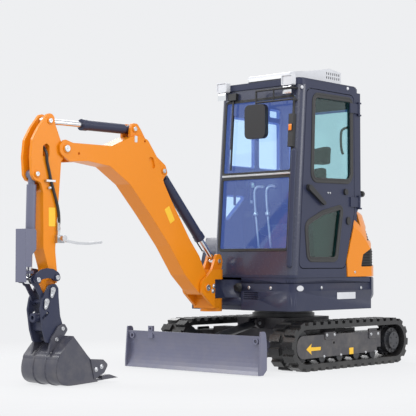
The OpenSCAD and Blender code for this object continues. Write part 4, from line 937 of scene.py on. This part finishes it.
class EXCAVATOR_OT_inside(bpy.types.Operator):
    """Fits out the cab: joystick boots, monitor, floor mat, grab loop, grips and the door's stop"""

    bl_idname = "excavator.inside"
    bl_label = "Fit out the cab"

    def execute(self, context):
        dark, mat, grips, sticks, stop = (bmesh.new() for _ in range(5))
        grip = circle(size_of("grip"), 12)
        pleats = [(34 - 2.1 * k + (4 if k % 2 else 0), 5 + 6 * k) for k in range(11)]
        for y in (-20, 618):
            lathe(dark, at(400, y, 1300), UP, [(34, 0), *pleats, (9, 70)])
        loop = [at(-57, 686, 2086), at(48, 690, 2051), at(70, 690, 1988),
                at(64, 690, 1893), at(35, 686, 1843)]
        sweep(dark, smooth_path(loop, 8), grip, LEFT)
        slab_of(dark, at(566, -40, 1604), (-0.94, 0.30, 0.15), round_box(190, 128, 18), 34, 5)
        neck = [at(590, -48, 1560), at(604, -56, 1500), at(600, -62, 1400)]
        sweep(dark, smooth_path(neck, 5), circle(12, 10), LEFT)
        for k in range(9):
            slab_of(mat, at(500 + 16 * k, SEAT_MID, 797), UP, round_box(9, 330, 4), 4)
        for y in (235, 365):
            lever = ((670, 0, 1306), (682, 0, 1400), (688, 2, 1500),
                     (682, 20, 1540), (672, 52, 1546), (668, 84, 1540))
            sweep(grips, smooth_path([at(x, y + dy, z) for x, dy, z in lever], 7), grip, LEFT)
        for y in (-32, 624):
            lathe(sticks, at(402, y, 1420), UP,
                  [(9, 0), (15, 8), (17, 70), (22, 112), (26, 150), (22, 180), (8, 190)], 20)
        lathe(stop, at(-149, 712, 1504), BACK, [(15, -4), (15, 44), (27, 48), (27, 74), (20, 80)], 20)
        for name, finish, bm in (
            ("lever_grips", "zinc", grips), ("joystick_grips", "zinc", sticks), ("door_stop", "hose", stop),
            ("cab_fittings", "plastic", dark), ("floor_mat", "hose", mat),
        ):
            new_piece(name, "house", finish, bm)
        return {"FINISHED"}


# Vents of the left cover, the louvres' step in millimetres, and where the hood begins, in metres
VENTS = (
    [(-150, 866), (-182, 972), (-400, 1068), (-590, 1068), (-590, 880), (-320, 868)],
    [(-262, 1092), (-318, 1196), (-430, 1230), (-560, 1230), (-560, 1104)],
)
LOUVRE = 6
HOOD_EDGE = 0.484

# The round tail: its radius, the height where it starts to lean in, and by how much
TAIL_R, TAIL_BEND, TAIL_LEAN = 799.0, 1005, 0.3077


class EXCAVATOR_OT_grille(bpy.types.Operator):
    """Sets near-black louvres into the vents of the left cover; their black is partly their own and partly
    painted shade of the openings
    """

    bl_idname = "excavator.grille"
    bl_label = "Set louvres in the vents"

    def execute(self, context):
        bm = bmesh.new()
        for outline in VENTS:
            self.louvres(bm, outline)
        new_piece("vent_louvres_and_painted_shade", "house", "mesh", bm)
        return {"FINISHED"}

    def louvres(self, bm, outline):
        """A stepped sheet that follows the round tail, just inside the cover's face."""
        xs, zs = [p[0] for p in outline], [p[1] for p in outline]
        margin, wide = 12, 3 * LOUVRE
        verts = {}

        def vert(i, j):
            if (i, j) not in verts:
                x, z = min(xs) - margin + i * wide, min(zs) - margin + j * LOUVRE
                tail = math.sqrt((TAIL_R - TAIL_LEAN * max(0.0, z - TAIL_BEND)) ** 2 - x * x)
                verts[i, j] = bm.verts.new(at(x, min(SKIRT_SIDE - 2, tail) - 2.0 * (j % 4), z))
            return verts[i, j]

        across = int((max(xs) - min(xs) + 2 * margin) / wide)
        up = int((max(zs) - min(zs) + 2 * margin) / LOUVRE)
        for i in range(across):
            for j in range(up):
                cell = vert(i, j), vert(i + 1, j), vert(i + 1, j + 1), vert(i, j + 1)
                if min(v.co.y for v in cell) > HOOD_EDGE:
                    bm.faces.new(cell)
        bmesh.ops.delete(bm, geom=[v for v in bm.verts if not v.link_faces], context="VERTS")


# Cylinders with a hard line as (name, barrel's pin, rod's pin, barrel's radius, length)
HARD_LINES = (
    ("boom", (952, 912), (1622, 1637), 42, 690),
    ("arm", (1955, 1950), (2833, 1940), 40, 480),
)


class EXCAVATOR_OT_lines(bpy.types.Operator):
    """Lays hard lines along the boom and arm cylinders and sets the hose boot beside the nose"""

    bl_idname = "excavator.lines"
    bl_label = "Lay the hydraulic lines"

    def execute(self, context):
        for row in HARD_LINES:
            self.hard_line(*row)
        self.boot()
        return {"FINISHED"}

    def hard_line(self, name, start, end, r, length):
        """A bent steel tube on the right side of a barrel, with two clamps and two unions."""
        tube, ends = bmesh.new(), bmesh.new()
        along = Vector((end[0] - start[0], 0, end[1] - start[1])).normalized()
        out = Vector(RIGHT)
        root = at(start[0], 0, start[1])
        head, foot = length - 8, 112

        def spot(a, h):
            return root + along * a / 1000 + out * h / 1000

        bends = ((foot, r - 4), (foot + 4, r + 9), (foot + 28, r + 15),
                 (head - 32, r + 15), (head - 8, r + 11), (head, r - 2))
        path = smooth_path([spot(a, h) for a, h in bends])
        sweep(tube, path, circle(size_of("hard_line"), 10), Vector((-along.z, 0, along.x)))
        for a in (0.35, 0.75):
            sweep(ends, [spot(length * a - 9, r + 8), spot(length * a + 9, r + 8)],
                  [(-14, -10), (-14, 12), (-9, 16), (9, 16), (14, 12), (14, -10)], out)
        for a, h in ((head, r - 2), (foot, r - 6)):
            lathe(ends, spot(a, h), out, [(13, 0), (13, 12), (10, 14), (10, 20)], 6)
        new_piece(f"{name}_line", f"{name}_barrel", "black", tube)
        new_piece(f"{name}_unions", f"{name}_barrel", "zinc", ends)

    def boot(self):
        """A corrugated black boot that guides the hoses out of the house beside the nose."""
        bm = bmesh.new()
        path = smooth_path([at(800, 166, 690), at(824, 167, 692), at(838, 166, 690), at(852, 163, 684)], 5)

        def pleat(i):
            return circle((40 if i % 2 else 34) * (1 - 0.25 * i / len(path)), 20)

        sweep(bm, path, pleat, LEFT)
        new_piece("hose_boot", "house", "hose", bm)


class EXCAVATOR_OT_trim(bpy.types.Operator):
    """Adds locks to the hood, screws to the door and painted shade to the roof unit: near-black plates that
    stand for its slot openings
    """

    bl_idname = "excavator.trim"
    bl_label = "Add the small trim"

    def execute(self, context):
        hood, door, slot_shade = (bmesh.new() for _ in range(3))
        for z in (1010, 1260):
            place = at(-797 + 0.26 * (z - 1010), 0, z)
            lathe(hood, place, BACK, [(34, -6), (34, 3), (28, 6), (12, 6), (10, 3)], 28)
        for x in (300, 330):
            bolt(door, at(x, CAB_LEFT, 1490), LEFT, 5)
        # Near-black plates on both sides of the roof unit: painted shade in place of its slots.
        for k in range(7):
            for z in (2519, 2555):
                for y, turn in ((CAB_LEFT - 190, LEFT), (CAB_RIGHT + 200, RIGHT)):
                    slab_of(slot_shade, at(30 * k - 90, y, z), turn, round_box(11.4, 21.4, 4), 4)
        new_piece("roof_slot_painted_shade", "house", "mesh", slot_shade)
        new_piece("hood_locks", "hood", "plastic", hood)
        new_piece("door_screws", "door", "zinc", door)
        return {"FINISHED"}


def trimmed(name, node, place, normal):
    """A copy of a solid of the house with one corner cut off by a plane; it stands for the solid."""
    bm = bmesh.new()
    bm.from_mesh(NODES[node].data)
    bmesh.ops.remove_doubles(bm, verts=bm.verts, dist=1e-5)
    cut = bmesh.ops.bisect_plane(
        bm, geom=[*bm.verts, *bm.edges, *bm.faces], plane_co=place, plane_no=Vector(normal), clear_outer=True)
    edges = [e for e in cut["geom_cut"] if isinstance(e, bmesh.types.BMEdge)]
    bmesh.ops.triangle_fill(bm, edges=edges, use_beauty=True)
    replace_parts(new_piece(name, "house", "slate", bm), node)


# The slanted panel over the cut corner: its path at the skirt's foot and its stepped section
CORNER_FOOT = 500
CORNER_PATH = (
    (826, -330), (825, -352), (819, -368), (804, -382), (427, -726), (412, -737), (394, -744), (370, -746))
CORNER_SECTION = (
    (0, 0), (0, 164), (6, 164), (6, 225), (12, 225), (12, 231), (6, 231), (6, 275), (34, 275), (34, 0))


class EXCAVATOR_OT_corner(bpy.types.Operator):
    """Cuts the right front corner of the house back at a slant and closes it with a panel"""

    bl_idname = "excavator.corner"
    bl_label = "Cut back the right corner"

    def execute(self, context):
        trimmed("skirt_cut", "skirt", at(825, -363, 640), (0.674, -0.739, 0))
        trimmed("frame_cut", "house_frame", at(807, -363, 640), (0.674, -0.739, 0))
        trimmed("tank_cut", "tank_cover", at(825, -262, 900), (0.640, -0.743, 0.18))
        band = bmesh.new()
        sweep(band, [at(x, y, CORNER_FOOT) for x, y in CORNER_PATH], CORNER_SECTION, UP)
        new_piece("skirt_corner", "house", "slate", band)
        return {"FINISHED"}


# The bucket's pin, half width, and the curve of its back seen from the pin
BUCKET_X, BUCKET_Z, BUCKET_HALF = 2814, 697, 195
BUCKET_BACK = (
    (-98, -336), (-40, -392), (12, -446), (46, -498), (62, -552), (62, -606), (44, -648), (8, -676),
    (-44, -689), (-120, -689), (-230, -684), (-340, -679))

# The auxiliary hose lies this far from the middle
HOSE_Y = 69.4


class EXCAVATOR_OT_bucket(bpy.types.Operator):
    """Rounds the bucket's back with a rolled skin, wear strips and cutter bolts, and fits the hose"""

    bl_idname = "excavator.bucket"
    bl_label = "Round the bucket"

    def execute(self, context):
        skin, bolts, fittings = (bmesh.new() for _ in range(3))
        half = BUCKET_HALF
        path = smooth_path([at(BUCKET_X + x, 0, BUCKET_Z + z) for x, z in BUCKET_BACK])
        rolled = [(-6, -half), (2, -half), (3, 3 - half), (3, half - 3), (2, half), (-6, half)]
        sweep(skin, path, rolled, LEFT)
        for y in (-66, 66):
            sweep(skin, path[3:], [(1, y - 8), (8, y - 6), (8, y + 6), (1, y + 8)], LEFT)
        for s in (-1, 1):
            cheek = [[p + Vector((0, s * (half - d) / 1000, 0)) for p in path] for d in (-2, 8)]
            bridge_rings(skin, cheek)
            for x, z in ((-318, -590), (-372, -572)):
                bolt(bolts, at(BUCKET_X + x, s * (half + 8), BUCKET_Z + z), (0, s, 0), 10)
        lathe(fittings, at(2757, HOSE_Y, 1190), (0.03, 0, -1),
              [(12.5, 0), (13.5, 3), (13.5, 30), (16, 32), (16, 54), (13, 57)], 6)
        lathe(fittings, at(2846, HOSE_Y, 1452), (-0.35, 0.1, -1),
              [(12.6, 0), (14, 2), (14, 14), (12.6, 16)], 20)
        new_piece("bucket_skin", "bucket", "bucket", skin)
        new_piece("cutter_bolts", "bucket", "zinc", bolts)
        new_piece("hose_fittings", "arm", "zinc", fittings)
        return {"FINISHED"}


# Soft lights as (name, place, size, power)
LIGHTS = (
    ("key", (6.0, 4.5, 7.0), 5.0, 330.0),
    ("fill", (-3.0, 8.0, 4.5), 5.0, 190.0),
    ("rim", (-6.0, -6.0, 6.0), 5.0, 260.0),
    ("front", (5.0, -5.0, 7.0), 3.5, 300.0),
)


class EXCAVATOR_OT_stage(bpy.types.Operator):
    """Sets the camera, the pale floor and the soft light"""

    bl_idname = "excavator.stage"
    bl_label = "Set the stage"

    def execute(self, context):
        scene = context.scene
        given = scene.excavator_stage
        lens = bpy.data.cameras.new("camera")
        lens.lens = given.lens
        lens.sensor_width = 36.0
        lens.clip_end = 200.0
        level = math.cos(given.pitch)
        ahead = Vector((
            -math.sin(given.azimuth) * level, math.cos(given.azimuth) * level, math.sin(given.pitch)))
        scene.camera = self.stand(scene, "camera", lens, given.place, ahead)
        scene.view_settings.view_transform = "Standard"
        self.add_floor(scene, given)
        self.add_lights(scene, given)
        return {"FINISHED"}

    def stand(self, scene, name, data, place, ahead):
        """Stands a camera or a lamp at a place, looking ahead."""
        obj = bpy.data.objects.new(name, data)
        obj.location = place
        obj.rotation_mode = "QUATERNION"
        obj.rotation_quaternion = ahead.to_track_quat("-Z", "Y")
        scene.collection.objects.link(obj)
        return obj

    def add_floor(self, scene, given):
        """A pale disc that fades out, so that no edge or skyline shows."""
        bm = bmesh.new()
        bmesh.ops.create_circle(bm, cap_ends=True, radius=4.6, segments=96)
        mesh = bpy.data.meshes.new("floor")
        bm.to_mesh(mesh)
        bm.free()
        floor = bpy.data.objects.new("floor", mesh)
        scene.collection.objects.link(floor)
        made, s, sockets = new_material("pale_floor")
        reach = s.add("ShaderNodeVectorMath", {0: s.place()}, operation="LENGTH").outputs["Value"]
        s.feed(sockets, alpha=s.spread(reach, 2.4, 4.5, 1.0, 0.0), base_color=(0.12, 0.12, 0.12, 1.0),
               roughness=0.9, specular_ior_level=0.0, emission_color=rgba(given.backdrop),
               emission_strength=0.87)
        mesh.materials.append(made)

    def add_lights(self, scene, given):
        """A pale sky and area lamps that all look at the middle of the machine."""
        world = scene.world or bpy.data.worlds.new("studio")
        scene.world = world
        world.use_nodes = True
        sky = world.node_tree.nodes["Background"].inputs
        sky["Color"].default_value = rgba(given.backdrop)
        sky["Strength"].default_value = 1.0
        for name, place, size, power in LIGHTS:
            lamp = bpy.data.lights.new(name, "AREA")
            lamp.size = size
            lamp.energy = power
            self.stand(scene, name, lamp, place, Vector((0, 0, 1.0)) - Vector(place))


class EXCAVATOR_PT_panel(bpy.types.Panel):
    """Lists the steps in the sidebar"""

    bl_idname = "EXCAVATOR_PT_panel"
    bl_label = "Excavator"
    bl_space_type = "VIEW_3D"
    bl_region_type = "UI"
    bl_category = "Excavator"

    def draw(self, context):
        for step in STEPS:
            self.layout.operator(step.bl_idname)


STEPS = (
    EXCAVATOR_OT_stage, EXCAVATOR_OT_finishes, EXCAVATOR_OT_seals, EXCAVATOR_OT_pins, EXCAVATOR_OT_bolts,
    EXCAVATOR_OT_labels, EXCAVATOR_OT_lamps, EXCAVATOR_OT_seat, EXCAVATOR_OT_inside, EXCAVATOR_OT_grille,
    EXCAVATOR_OT_lines, EXCAVATOR_OT_trim, EXCAVATOR_OT_corner, EXCAVATOR_OT_bucket,
)
PROPS = {
    "excavator_colours": EXCAVATOR_PG_colours, "excavator_sizes": EXCAVATOR_PG_sizes,
    "excavator_stage": EXCAVATOR_PG_stage,
}
CLASSES = (*PROPS.values(), *STEPS, EXCAVATOR_PT_panel)


def register():
    for kind in CLASSES:
        bpy.utils.register_class(kind)
    for name, group in PROPS.items():
        setattr(bpy.types.Scene, name, bpy.props.PointerProperty(type=group))


def unregister():
    for name in PROPS:
        delattr(bpy.types.Scene, name)
    for kind in reversed(CLASSES):
        bpy.utils.unregister_class(kind)


def main():
    """Registers the steps and runs them in order."""
    register()
    for step in STEPS:
        group, name = step.bl_idname.split(".")
        getattr(getattr(bpy.ops, group), name)()


if __name__ == "__main__":
    main()
